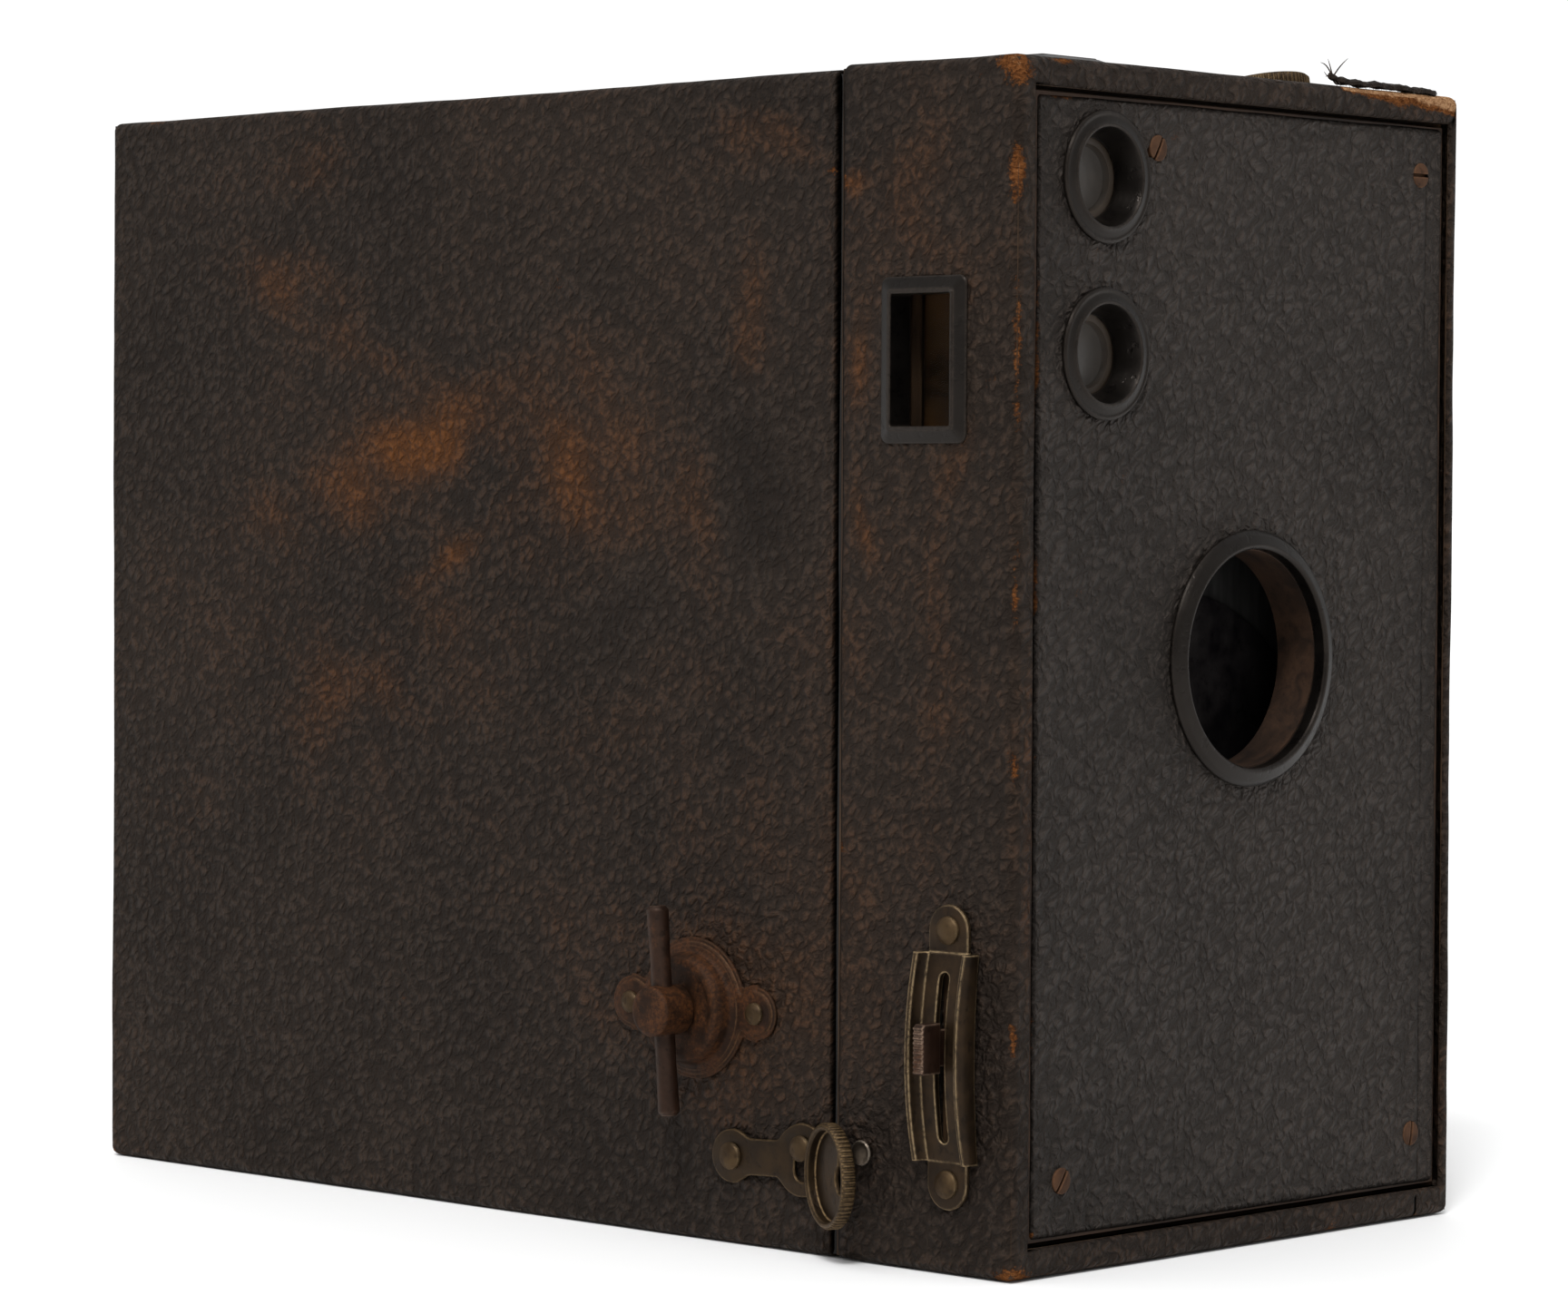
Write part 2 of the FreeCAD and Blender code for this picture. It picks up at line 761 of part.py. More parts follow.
def keeper(name, sign):
    """A metal bridge, riveted down on both sides, that holds one end of the strap."""
    y = f"strap_y{sign}keeper_reach"

    def bar(part, half, high):
        low_corner = (f"-({half})", f"{y}-keeper_half", "rear_top")
        high_corner = (half, f"{y}+keeper_half", f"rear_top+{high}")
        return block(f"keeper_{name}_{part}", low_corner, high_corner)

    feet = bar("feet", "strap_width/2+keeper_foot", "sheet")
    bridge = bar("bridge", "strap_width/2+keeper_wall", "strap_sheet+keeper_rise")
    passage = block(
        f"keeper_{name}_passage",
        ("-strap_width/2-0.1", f"{y}-keeper_half-1", "rear_top-1"),
        ("strap_width/2+0.1", f"{y}+keeper_half+1", "rear_top+strap_sheet+0.1"),
    )
    whole = cut(f"keeper_{name}", fuse(f"keeper_{name}_whole", feet, bridge), passage)
    pins = []
    for side, s in (("left", "-"), ("right", "+")):
        at = (f"{s}(strap_width/2+keeper_pin)", y, "rear_top")
        pins.append(rivet(f"keeper_{name}_rivet_{side}", at, "top", "small_head", lift="sheet"))
    return cut(f"keeper_{name}_drilled", whole, *pins), pins


front_keeper, front_pins = keeper("front", "-")
back_keeper, back_pins = keeper("back", "+")
group("strap_keepers", [front_keeper, back_keeper])
group("strap_rivets", front_pins + back_pins)

rear_seats = side_latch_rivets + top_latch_rivets + ear_rivets + front_pins + back_pins + bush_holes
rear_seats += [red_hole, key_hole]
node("rear_covering", cut("rear_covering_cut", rear_outer, rear_board, *rear_seats))
node("rear_shell", cut("rear_shell_cut", rear_board, rear_hollow, *rear_seats))


# ---------------------------------------------------------------- front section: panel, lens and finders

LENS_AT = ("lens_x", "panel_y", "lens_z")
FINDERS = {"upper": "upper_z", "lower": "lower_z"}


def finder_at(name):
    return ("-finder_x", "panel_y", FINDERS[name])


lens_bezel = turned(
    "lens_bezel_turned",
    [
        ("bezel_bore", "-bezel_lip"),
        ("bezel_bore+bezel_lip", "-bezel_lip"),
        ("bezel_bore+bezel_lip", "0"),
        ("bezel_radius", "0"),
        ("bezel_radius", "bezel_proud*0.5"),
        ("bezel_radius-bezel_bevel", "bezel_proud"),
        ("bezel_bore+bezel_bevel", "bezel_proud"),
        ("bezel_bore", "bezel_proud*0.5"),
    ],
    LENS_AT,
    "front",
)
node("lens_bezel", lens_bezel)
panel_holes = [
    rod("bezel_seat", "bezel_bore+bezel_lip", "3", beside(LENS_AT, "front", "0", out="-bezel_lip"), "front"),
    rod("wood_hole", "wood_bore", "9", beside(LENS_AT, "front", "0", out="-8"), "front"),
]
for name in FINDERS:
    ring = turned(
        f"{name}_ring_turned",
        [
            ("ring_throat", "-ring_depth"),
            ("ring_tube", "-ring_depth"),
            ("ring_tube", "0"),
            ("ring_radius", "0"),
            ("ring_radius", "ring_proud*0.5"),
            ("ring_radius-ring_bevel", "ring_proud"),
            ("ring_bore+ring_lip", "ring_proud"),
            ("ring_bore", "ring_proud*0.6"),
            ("ring_throat", "-funnel_depth"),
        ],
        finder_at(name),
        "front",
    )
    node(f"{name}_finder_ring", ring)
    lens = turned(
        f"{name}_lens_turned",
        [
            ("0", "-finder_lens_back"),
            ("finder_lens", "-finder_lens_back"),
            ("finder_lens", "-finder_lens_edge"),
            ("finder_lens*0.6", "-finder_lens_crown-0.1"),
            ("0", "-finder_lens_crown"),
        ],
        finder_at(name),
        "front",
    )
    node(f"{name}_finder_lens", lens)
    at = beside(finder_at(name), "front", "0", out="-5")
    panel_holes.append(rod(f"{name}_ring_hole", "ring_tube", "6", at, "front"))

SCREWS = {
    "top_left": ("-15.7", "123.9", 45.0),
    "top_right": ("33.0", "123.3", 0.0),
    "low_left": ("-31.0", "10.4", -50.0),
    "low_right": ("32.7", "10.2", 80.0),
}


def panel_screw(name):
    """A flat-headed screw with a slot, whose head stands just proud of the panel."""
    x, z, turn = SCREWS[name]
    head = rod(f"screw_{name}_head", "screw_head", "screw_sink+screw_proud", ("0", "0", "-screw_sink"))
    shank = rod(f"screw_{name}_shank", "screw_shank", "screw_length-tool_over", ("0", "0", "-screw_length"))
    groove = block(
        f"screw_{name}_groove",
        ("-screw_head-1", "-slot_width/2", "screw_proud-slot_depth"),
        ("screw_head+1", "slot_width/2", "screw_proud+1"),
    )
    body = fuse(f"screw_{name}_body", head, shank)
    return place(cut(f"screw_{name}", body, groove), (x, "panel_y", z), "front", turn)


screws = [panel_screw(name) for name in SCREWS]
group("panel_screws", screws)
screw_holes = [
    rod(f"screw_{name}_seat", "screw_head", "screw_sink+1", (x, "panel_y+screw_sink", z), "front")
    for name, (x, z, turn) in SCREWS.items()
]
screw_bores = [
    rod(f"screw_{name}_bore", "screw_shank", "screw_length+1", (x, "panel_y+screw_length", z), "front")
    for name, (x, z, turn) in SCREWS.items()
]
lever_post = rod(
    "lever_post_rod", "pivot_radius", "6.6", ("-lever_pivot", "panel_back+6", "lever_z"), "front"
)
node("lever_post", lever_post)
panel_skin = block(
    "panel_skin_sheet",
    ("-panel_left", "panel_y", "panel_low"),
    ("panel_right", "panel_y+panel_skin", "panel_high"),
)
panel_wood = block(
    "panel_wood",
    ("-panel_left", "panel_y+panel_skin", "panel_low"),
    ("panel_right", "panel_back", "panel_high"),
)
node("panel_covering", cut("panel_covering_cut", panel_skin, *panel_holes, *screw_holes, *screw_bores))
boss_back = ("lens_x", "panel_back+boss_rise", "lens_z")
lens_boss = rod("lens_boss_rod", "lens_boss", "boss_rise", boss_back, "front")
panel_wood = fuse("panel_wood_bossed", panel_wood, lens_boss)
node("front_panel", cut("front_panel_cut", panel_wood, *panel_holes, *screw_holes, *screw_bores, lever_post))


# ---------------------------------------------------------------- front section: shell and covering

front_outer = rounded(
    "front_outer_rounded",
    block("front_outer", ("-side_x", "front_y", "0"), ("side_x", "seam_y", "height")),
    size("front_depth") - size("depth") / 2,
)
front_wood = block(
    "front_wood", ("-side_x+skin", "front_y+skin", "skin"), ("side_x-skin", "seam_y", "height-skin")
)
rebate = block(
    "panel_rebate",
    ("-panel_left-panel_gap", "front_y-1", "panel_low-panel_gap"),
    ("panel_right+panel_gap", "panel_back", "panel_high+panel_gap"),
)
cavity = block(
    "front_cavity",
    ("-side_x+wall_left", "front_y", "wall_low"),
    ("side_x-wall_right", "cavity_back", "height-wall_high"),
)
cone_mouth = block(
    "cone_mouth",
    ("-cone_half", "cavity_back-1", "lens_z-cone_start"),
    ("cone_half", "seam_y+1", "lens_z+cone_start"),
)
lip_x = "rear_x-skin-board-lip_gap"
lip_outer = block(
    "lip_outer",
    (f"-({lip_x})", "seam_y-1", "skin+board+lip_gap"),
    (lip_x, "seam_y+lip_length", "rear_top-skin-board-lip_gap"),
)
lip_inner = block(
    "lip_inner",
    (f"-({lip_x}-lip_wall)", "seam_y-2", "skin+board+lip_gap+lip_wall"),
    (f"{lip_x}-lip_wall", "seam_y+lip_length+1", "rear_top-skin-board-lip_gap-lip_wall"),
)
corner_blocks = [
    block(
        f"corner_block_{name}",
        (f"{x}-screw_block/2", "panel_back", f"{z}-screw_block/2"),
        (f"{x}+screw_block/2", "front_y+block_back", f"{z}+screw_block/2"),
    )
    for name, (x, z, turn) in SCREWS.items()
]


def window(name, at, facing):
    """A finder window: a metal frame with a sleeve through the wall, and a ground glass at its end."""
    half_x, half_y = "window_width/2", "window_length/2"
    if facing == "top":
        half_x, half_y = half_y, half_x

    def slab(part, grow, low, high):
        return block(
            f"{name}_{part}",
            (f"-({half_x}+{grow})", f"-({half_y}+{grow})", low),
            (f"{half_x}+{grow}", f"{half_y}+{grow}", high),
        )

    rim = slab("rim", "window_frame", "0", "window_proud")
    sleeve = slab("sleeve", "window_sleeve", "-sleeve_depth", "window_proud")
    opening = slab("opening", "0", "-6", "window_proud+1")
    frame = cut(f"{name}_frame", fuse(f"{name}_metal", rim, sleeve), opening)
    node(f"{name}_window_frame", place(frame, at, facing))
    pane = slab("glass", "window_sleeve", "-sleeve_depth-glass_sheet", "-sleeve_depth")
    glass = held(f"{name}_glass_held", pane)
    node(f"{name}_window_glass", place(glass, at, facing))
    return place(held(f"{name}_hole_held", slab("hole", "window_sleeve", "-8", "0")), at, facing)


side_window_at = ("-side_x", "front_y+window_y", "lower_z-lower_mirror_drop")
top_window_at = ("-finder_x", "front_y+window_y", "height")
window_holes = [window("side", side_window_at, "left"), window("top", top_window_at, "top")]


# ---------------------------------------------------------------- shutter lever and its plate

PLATE_AT = ("-side_x", "front_y+lever_y", "lever_z")


def arch_rod(label, half, rise, top):
    """A rod across the plate whose outline rises by rise over a span of twice half, up to height top."""
    radius = f"((({half})^2+({rise})^2)/(2*({rise})))"
    made = bind(doc.addObject("Part::Cylinder", label), Radius=radius, Height="plate_width+4")
    across = FreeCAD.Rotation(FreeCAD.Vector(0, 1, 0), 90)
    made.Placement = FreeCAD.Placement(FreeCAD.Vector(), across)
    made.setExpression("Placement.Base.x", linked("-plate_width/2-2"))
    made.setExpression("Placement.Base.z", linked(f"({top})-{radius}"))
    return made


half_plate = "plate_length/2"
edge_arch = arch_rod("plate_edge_arch", half_plate, "flange_edge-flange_end", "flange_edge")
floor_top = arch_rod("plate_floor_top", half_plate, "plate_rise", "plate_sheet+plate_rise")
floor_under = arch_rod("plate_floor_under", half_plate, "plate_rise", "plate_rise")
span = block(
    "plate_span", ("-plate_width/2", f"-({half_plate})", "0"), ("plate_width/2", half_plate, "flange_edge+1")
)
trough_x = "plate_width/2-plate_sheet"
trough = block("plate_trough", (f"-({trough_x})", "-plate_length", "-1"), (trough_x, "plate_length", "6"))
channel = cut("plate_channel", trough, floor_top)
middle_part = cut("plate_middle", common("plate_arched", edge_arch, span), floor_under, channel)
lobes = []
for name, s in (("high", ""), ("low", "-")):
    lobes.append(rod(f"plate_lobe_{name}", "plate_lobe", "plate_sheet", ("0", f"{s}plate_pitch/2", "0")))
tongue = block(
    "plate_tongue", ("-plate_lobe", "-plate_pitch/2", "0"), ("plate_lobe", "plate_pitch/2", "plate_sheet")
)
tongue_gap = block(
    "plate_tongue_gap",
    ("-plate_lobe-1", f"-({half_plate})+plate_trim", "-1"),
    ("plate_lobe+1", f"{half_plate}-plate_trim", "plate_sheet+1"),
)
ends = cut("plate_ends", fuse("plate_flat", tongue, *lobes), tongue_gap)
slot = block(
    "plate_slot",
    ("-lever_slot/2", "-lever_slot_length/2", "-1"),
    ("lever_slot/2", "lever_slot_length/2", "flange_edge+1"),
)
lever_rivets = []
for name, s in (("high", ""), ("low", "-")):
    rivet_at = beside(PLATE_AT, "left", "0", f"{s}plate_pitch/2")
    lever_rivets.append(rivet(f"plate_rivet_{name}", rivet_at, "left", lift="plate_sheet"))
lever_plate = place(cut("plate_slotted", fuse("plate_whole", middle_part, ends), slot), PLATE_AT, "left")
node("lever_plate", cut("plate_drilled", lever_plate, *lever_rivets))
group("lever_plate_rivets", lever_rivets)
wall_slot = block(
    "wall_slot",
    ("-side_x-1", "front_y+lever_y-lever_slot/2", "lever_z-lever_slot_length/2-slot_over"),
    ("-side_x+wall_left+1", "front_y+lever_y+lever_slot/2", "lever_z+lever_slot_length/2+slot_over"),
)

arm = sheet_plate(
    "lever_arm",
    [
        ("-lever_pivot", "0.2-lever_boss"),
        ("-side_x+6", "tip_rise-lever_height/2"),
        ("-side_x-3", "tip_rise-lever_height/2"),
        ("-side_x-3", "tip_rise+lever_height/2"),
        ("-side_x+6", "tip_rise+lever_height/2"),
        ("-lever_pivot", "lever_boss-0.2"),
    ],
    "lever_sheet",
)
lever_boss = rod("lever_boss", "lever_boss", "lever_sheet", ("-lever_pivot", "0", "0"))
tip = block(
    "lever_tip",
    ("-lever_reach", "tip_rise-tip_height/2", "lever_sheet/2-tip_sheet/2"),
    ("-side_x-2.5", "tip_rise+tip_height/2", "lever_sheet/2+tip_sheet/2"),
)
lever_hole = rod("lever_hole", "pivot_radius+running_gap", "4", ("-lever_pivot", "0", "-1"))
lever = cut("lever_bored", fuse("lever_whole", arm, lever_boss, tip), lever_hole)
node("shutter_lever", place(lever, ("0", "front_y+lever_y+lever_sheet/2", "lever_z"), "front"))


# ---------------------------------------------------------------- shutter, stops and taking lens

board_whole = block(
    "shutter_board_whole",
    ("-side_x+wall_left+board_gap", "front_y+shutter_front", "wall_low+board_gap"),
    ("side_x-wall_right-board_gap", "front_y+shutter_front+shutter_board", "height-wall_high-board_gap"),
)
finder_room = block(
    "finder_room",
    ("-side_x", "front_y", "finder_low-board_gap"),
    ("-finder_right+finder_wall+board_gap", "seam_y", "height"),
)
lens_opening = rod("lens_opening", "lens_hole", "8", ("lens_x", "front_y+shutter_front+6", "lens_z"), "front")
stop_channel = block(
    "stop_channel",
    ("lens_x-stop_width/2-slide_gap", "front_y+stop_front-slide_gap", "stop_low-1"),
    ("lens_x+stop_width/2+slide_gap", "front_y+shutter_front+shutter_board+1", "height"),
)
shutter_post_at = ("lens_x", "front_y+shutter_front+post_gap", "disc_z")
shutter_post = rod("shutter_post_rod", "pivot_radius", "2.6", shutter_post_at, "front")
node("shutter_post", shutter_post)
node(
    "shutter_board",
    cut("shutter_board_cut", board_whole, finder_room, lens_opening, stop_channel, shutter_post),
)

disc_metal = rod("disc_sheet_metal", "disc_radius", "disc_sheet")
disc_hole = rod("disc_hole", "pivot_radius+running_gap", "3", ("0", "0", "-1"))
opening_at = ("(lens_z-disc_z)*cos(disc_rest)", "(lens_z-disc_z)*sin(disc_rest)", "-1")
disc_opening = rod("disc_opening", "lens_hole+opening_gap", "3", opening_at)
shutter_disc = cut("disc_cut", disc_metal, disc_hole, disc_opening)
DISC_AT = ("lens_x", "front_y+disc_front+disc_sheet", "disc_z")
node("shutter_disc", place(shutter_disc, DISC_AT, "front"))
coil = bind(doc.addObject("Part::Torus", "spring_coil"), Radius1="spring_coil", Radius2="spring_wire")
leg = rod("spring_leg", "spring_wire", "spring_leg")
leg.Placement = FreeCAD.Placement(FreeCAD.Vector(), FreeCAD.Rotation(FreeCAD.Vector(1, 0, 0), 90))
leg.setExpression("Placement.Base.x", linked("spring_coil"))
spring_at = ("lens_x", "front_y+disc_front-spring_wire-running_gap", "disc_z")
node("shutter_spring", place(fuse("spring_wire", coil, leg), spring_at, "front"))


def slide(label, x, start, low, neck_low, width):
    """A sheet slide with a narrower neck that comes up through the top wall."""
    back = f"front_y+{start}+stop_sheet"
    low_corner = (f"{x}-{width}/2", f"front_y+{start}", low)
    wide = block(f"{label}_wide", low_corner, (f"{x}+{width}/2", back, neck_low))
    neck = block(
        f"{label}_neck",
        (f"{x}-tab_width/2", f"front_y+{start}", neck_low),
        (f"{x}+tab_width/2", back, "height+tab_proud"),
    )
    hole = block(
        f"{label}_hole",
        (f"{x}-tab_width/2-slide_gap", f"front_y+{start}-slide_gap", "height-wall_high-1"),
        (f"{x}+tab_width/2+slide_gap", f"{back}+slide_gap", "height+1"),
    )
    return fuse(f"{label}_whole", wide, neck), hole


stop_whole, stop_hole = slide("stop", "lens_x", "stop_front", "stop_low", "stop_neck", "stop_width")
stops = []
for i, radius in enumerate(("stop_large", "stop_medium", "stop_small")):
    stop_at = ("lens_x", "front_y+stop_front+2", f"lens_z-{i}*stop_step")
    stops.append(rod(f"{radius}_hole", radius, "3", stop_at, "front"))
node("stop_slide", cut("stop_slide_cut", stop_whole, *stops))
time_whole, time_hole = slide("time", "time_x", "time_front", "time_low", "time_low+8", "(tab_width+3)")
node("time_slide", time_whole)

CELL_AT = ("lens_x", "front_y+shutter_front+shutter_board", "lens_z")
node(
    "lens_cell",
    turned(
        "lens_cell_turned",
        [
            ("lens_hole", "0"),
            ("cell_flange", "0"),
            ("cell_flange", "0.8"),
            ("cell_radius", "0.8"),
            ("cell_radius", "4.6"),
            ("lens_radius", "4.6"),
            ("lens_radius", "1.2"),
            ("lens_hole", "1.2"),
        ],
        CELL_AT,
        "back",
    ),
)
node(
    "meniscus_lens",
    turned(
        "meniscus_lens_turned",
        [
            ("0", "2.1"),
            ("lens_radius*0.6", "1.8"),
            ("lens_radius-0.1", "1.3"),
            ("lens_radius-0.1", "2.6"),
            ("lens_radius*0.6", "3.8"),
            ("0", "4.3"),
        ],
        CELL_AT,
        "back",
    ),
)


# ---------------------------------------------------------------- finder inside

finder_tall = block(
    "finder_wall_tall",
    ("-finder_right", "panel_back", "finder_low"),
    ("-finder_right+finder_wall", "cavity_back", "height-wall_high"),
)
finder_floors = [
    block(
        f"finder_floor_{i}",
        ("-side_x+wall_left", "panel_back", level),
        ("-finder_right", "cavity_back", f"{level}+finder_wall"),
    )
    for i, level in enumerate(("finder_low", "finder_middle"))
]
node(
    "finder_partition",
    cut("finder_partition_cut", fuse("finder_boards", finder_tall, *finder_floors), corner_blocks[0]),
)


def mirror(label, width, at, across, along):
    """A flat mirror centred on a point: across is its width's direction, along its length's."""
    pane = block(
        f"{label}_pane",
        (f"-({width})/2", "-mirror_length/2", "-mirror_sheet/2"),
        (f"({width})/2", "mirror_length/2", "mirror_sheet/2"),
    )
    turned_pane = held(f"{label}_held", pane)
    across, along = FreeCAD.Vector(*across), FreeCAD.Vector(*along)
    aim = FreeCAD.Rotation(across, along, across.cross(along), "XYZ")
    turned_pane.Placement = FreeCAD.Placement(FreeCAD.Vector(), aim)
    for name, text in zip("xyz", at):
        turned_pane.setExpression(f"Placement.Base.{name}", linked(text))
    return node(label, turned_pane)


upper_mirror_at = ("-finder_x", "front_y+window_y", "upper_z-upper_mirror_drop")
lower_mirror_at = ("-finder_x", "front_y+window_y", "lower_z-lower_mirror_drop")
mirror("upper_finder_mirror", "mirror_width", upper_mirror_at, (1, 0, 0), (0, 1, 1))
mirror("lower_finder_mirror", "mirror_height", lower_mirror_at, (0, 0, 1), (1, -1, 0))

front_seats = window_holes + lever_rivets + [side_stud, top_stud, wall_slot, stop_hole, time_hole]
node(
    "front_covering",
    cut("front_covering_cut", cut("front_skin", front_outer, front_wood), rebate, *front_seats),
)
front_frame = fuse(
    "front_frame",
    cut("front_hollow", front_wood, rebate, cavity, cone_mouth),
    cut("front_lip", lip_outer, lip_inner, front_wood),
    *corner_blocks,
)
node("front_shell", cut("front_shell_cut", front_frame, *front_seats, *screw_bores, cone_mouth))


# ---------------------------------------------------------------- film carrier and spools

def wedge(label, grow, low_y, high_y):
    """A four-sided taper from the cone's mouth to the film opening."""
    made = doc.addObject("Part::Wedge", label)
    bind(
        made,
        Xmin=f"-cone_half-{grow}",
        Xmax=f"cone_half+{grow}",
        Zmin=f"lens_z-cone_start-{grow}",
        Zmax=f"lens_z+cone_start+{grow}",
        X2min=f"-gate_opening-{grow}",
        X2max=f"gate_opening+{grow}",
        Z2min=f"middle_z-gate_tall-{grow}",
        Z2max=f"middle_z+gate_tall+{grow}",
        Ymin=low_y,
        Ymax=high_y,
    )
    return made


cone_outer = wedge("cone_outer", "cone_wall", "seam_y", "front_y+gate_front")
cone_inner = wedge("cone_inner", "0", "seam_y-0.001", "front_y+gate_front+0.001")
node("light_cone", cut("light_cone_cut", cone_outer, cone_inner))

gate = block(
    "gate_plate",
    ("-gate_half", "front_y+gate_front", "middle_z-gate_tall-gate_margin"),
    ("gate_half", "front_y+gate_front+gate_sheet", "middle_z+gate_tall+gate_margin"),
)
gate_hole = block(
    "gate_hole",
    ("-gate_opening", "front_y+gate_front-1", "middle_z-gate_tall"),
    ("gate_opening", "front_y+gate_front+gate_sheet+1", "middle_z+gate_tall"),
)
lugs, axles = [], []
for name, s, below, above in (("upper", "+", "4", "2"), ("lower", "-", "2", "4")):
    z = f"middle_z{s}roller_z"
    for end, start in (("left", "-gate_half"), ("right", "roller_half+roller_gap")):
        low = (start, "front_y+gate_front", f"{z}-{below}")
        high = (f"{start}+gate_half-roller_half-roller_gap", "front_y+roller_y+2", f"{z}+{above}")
        lugs.append(block(f"{name}_lug_{end}", low, high))
    axle_at = ("-gate_half", "front_y+roller_y", z)
    axles.append(rod(f"{name}_axle", "axle_radius", "2*gate_half", axle_at, "right"))
    roller_at = ("-roller_half", "front_y+roller_y", z)
    solid = rod(f"{name}_roller_rod", "roller_radius", "2*roller_half", roller_at, "right")
    bore = rod(f"{name}_roller_bore", "axle_radius+running_gap", "2*gate_half", axle_at, "right")
    node(f"{name}_film_roller", cut(f"{name}_roller_cut", solid, bore))
group("roller_axles", axles)
node("film_gate", cut("film_gate_cut", fuse("film_gate_whole", gate, *lugs), gate_hole, *axles))

SPOOLS = {"takeup": "key_z", "supply": "supply_z"}
pins, brackets = [], []
for name, z in SPOOLS.items():
    at = ("0", "front_y+key_y", z)
    core = turned(
        f"{name}_core_turned",
        [
            ("0", "-spool_end"),
            ("core_radius-1", "-spool_end"),
            ("core_radius-1", "-flange_face+flange_sheet"),
            ("core_radius", "-flange_face+flange_sheet"),
            ("core_radius", "flange_face-flange_sheet"),
            ("core_radius-1", "flange_face-flange_sheet"),
            ("core_radius-1", "spool_end"),
            ("0", "spool_end"),
        ],
        at,
        "left",
    )
    flanges = []
    for end in ("left", "right"):
        flange_at = beside(at, end, "0", out="flange_face-flange_sheet")
        flange = rod(f"{name}_flange_{end}", "flange_radius", "flange_sheet", flange_at, end)
        eye = rod(f"{name}_eye_{end}", "core_radius-1", "3", beside(flange_at, end, "0", out="-1"), end)
        flanges.append(cut(f"{name}_flange_{end}_cut", flange, eye))
    group(f"{name}_spool_flanges", flanges)
    sockets = []
    for end in ("left", "right"):
        arm_at = beside(at, end, "0", out="bracket_inner")
        near, far = "bracket_inner", "bracket_inner+bracket_sheet"
        low_x, high_x = (f"-({far})", f"-({near})") if end == "left" else (near, far)
        arm_plate = block(
            f"{name}_arm_{end}",
            (low_x, "seam_y", f"{z}-bracket_half"),
            (high_x, "front_y+bracket_end", f"{z}+bracket_half"),
        )
        if name == "takeup" and end == "left":
            round_end = rod("notch_round", "notch_half", "4", beside(arm_at, end, "0", out="-1"), end)
            open_end = block(
                "notch_open",
                ("-bracket_inner-bracket_sheet-1", "front_y+key_y", f"{z}-notch_half"),
                ("-bracket_inner+1", "front_y+bracket_end+1", f"{z}+notch_half"),
            )
            arm_plate = cut("takeup_arm_notched", arm_plate, round_end, open_end)
            blade_slot = block(
                "blade_slot",
                ("-spool_end-1", "front_y+key_y-core_radius", f"{z}-blade_sheet/2-blade_gap"),
                ("-blade_end+blade_reach", "front_y+key_y+core_radius", f"{z}+blade_sheet/2+blade_gap"),
            )
            sockets.append(blade_slot)
        else:
            pin_at = beside(at, end, "0", out="bracket_inner-pin_length")
            pins.append(rod(f"{name}_pin_{end}", "spool_pin", "pin_length", pin_at, end))
            socket_at = beside(at, end, "0", out="bracket_inner-pin_length-pin_gap")
            socket = rod(f"{name}_socket_{end}", "spool_pin+running_gap", "pin_length+1", socket_at, end)
            sockets.append(socket)
        brackets.append(arm_plate)
    node(f"{name}_spool_core", cut(f"{name}_core_cut", core, *sockets))
group("spool_pins", pins)
group("spool_brackets", brackets)


# ---------------------------------------------------------------- check and write

doc.recompute()
for thing in doc.Objects:
    if {"Invalid", "Error"} & set(thing.State):
        raise RuntimeError(f"{thing.Label} did not compute: {thing.State}")
for name, thing in nodes.items():
    if thing.Shape.isNull() or not thing.Shape.isValid() or not thing.Shape.Solids:
        raise RuntimeError(f"{name} has no valid solid")
if len(nodes) > 60:
    raise RuntimeError("too many sub-parts")

os.makedirs("parts", exist_ok=True)
for name, thing in nodes.items():
    thing.Shape.exportStep(f"parts/{name}.step")
    print(f"{name:24s} solids {len(thing.Shape.Solids):2d}  volume {thing.Shape.Volume:10.1f}")
print(len(nodes), "sub-parts")
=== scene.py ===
"""The looks of a worn box camera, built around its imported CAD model. Metres, in the CAD model's frame."""

import itertools
import math

import bmesh
import bpy
from mathutils import Matrix, Vector, noise


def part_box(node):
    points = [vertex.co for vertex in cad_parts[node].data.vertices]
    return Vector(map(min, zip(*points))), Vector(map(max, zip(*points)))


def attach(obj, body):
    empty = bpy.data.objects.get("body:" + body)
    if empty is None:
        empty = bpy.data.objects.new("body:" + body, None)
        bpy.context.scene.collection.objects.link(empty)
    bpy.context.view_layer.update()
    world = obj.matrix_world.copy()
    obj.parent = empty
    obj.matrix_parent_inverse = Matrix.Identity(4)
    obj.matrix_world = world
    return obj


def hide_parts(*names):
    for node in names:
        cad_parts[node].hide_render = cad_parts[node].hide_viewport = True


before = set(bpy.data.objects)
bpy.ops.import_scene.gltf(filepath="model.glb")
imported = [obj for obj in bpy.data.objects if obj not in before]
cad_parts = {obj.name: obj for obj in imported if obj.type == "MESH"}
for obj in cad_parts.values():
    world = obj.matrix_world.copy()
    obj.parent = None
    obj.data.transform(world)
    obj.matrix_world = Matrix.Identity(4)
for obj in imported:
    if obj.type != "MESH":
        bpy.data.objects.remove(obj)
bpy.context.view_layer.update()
MM = 0.001

# ---------------------------------------------------------------- places, all read from the frame

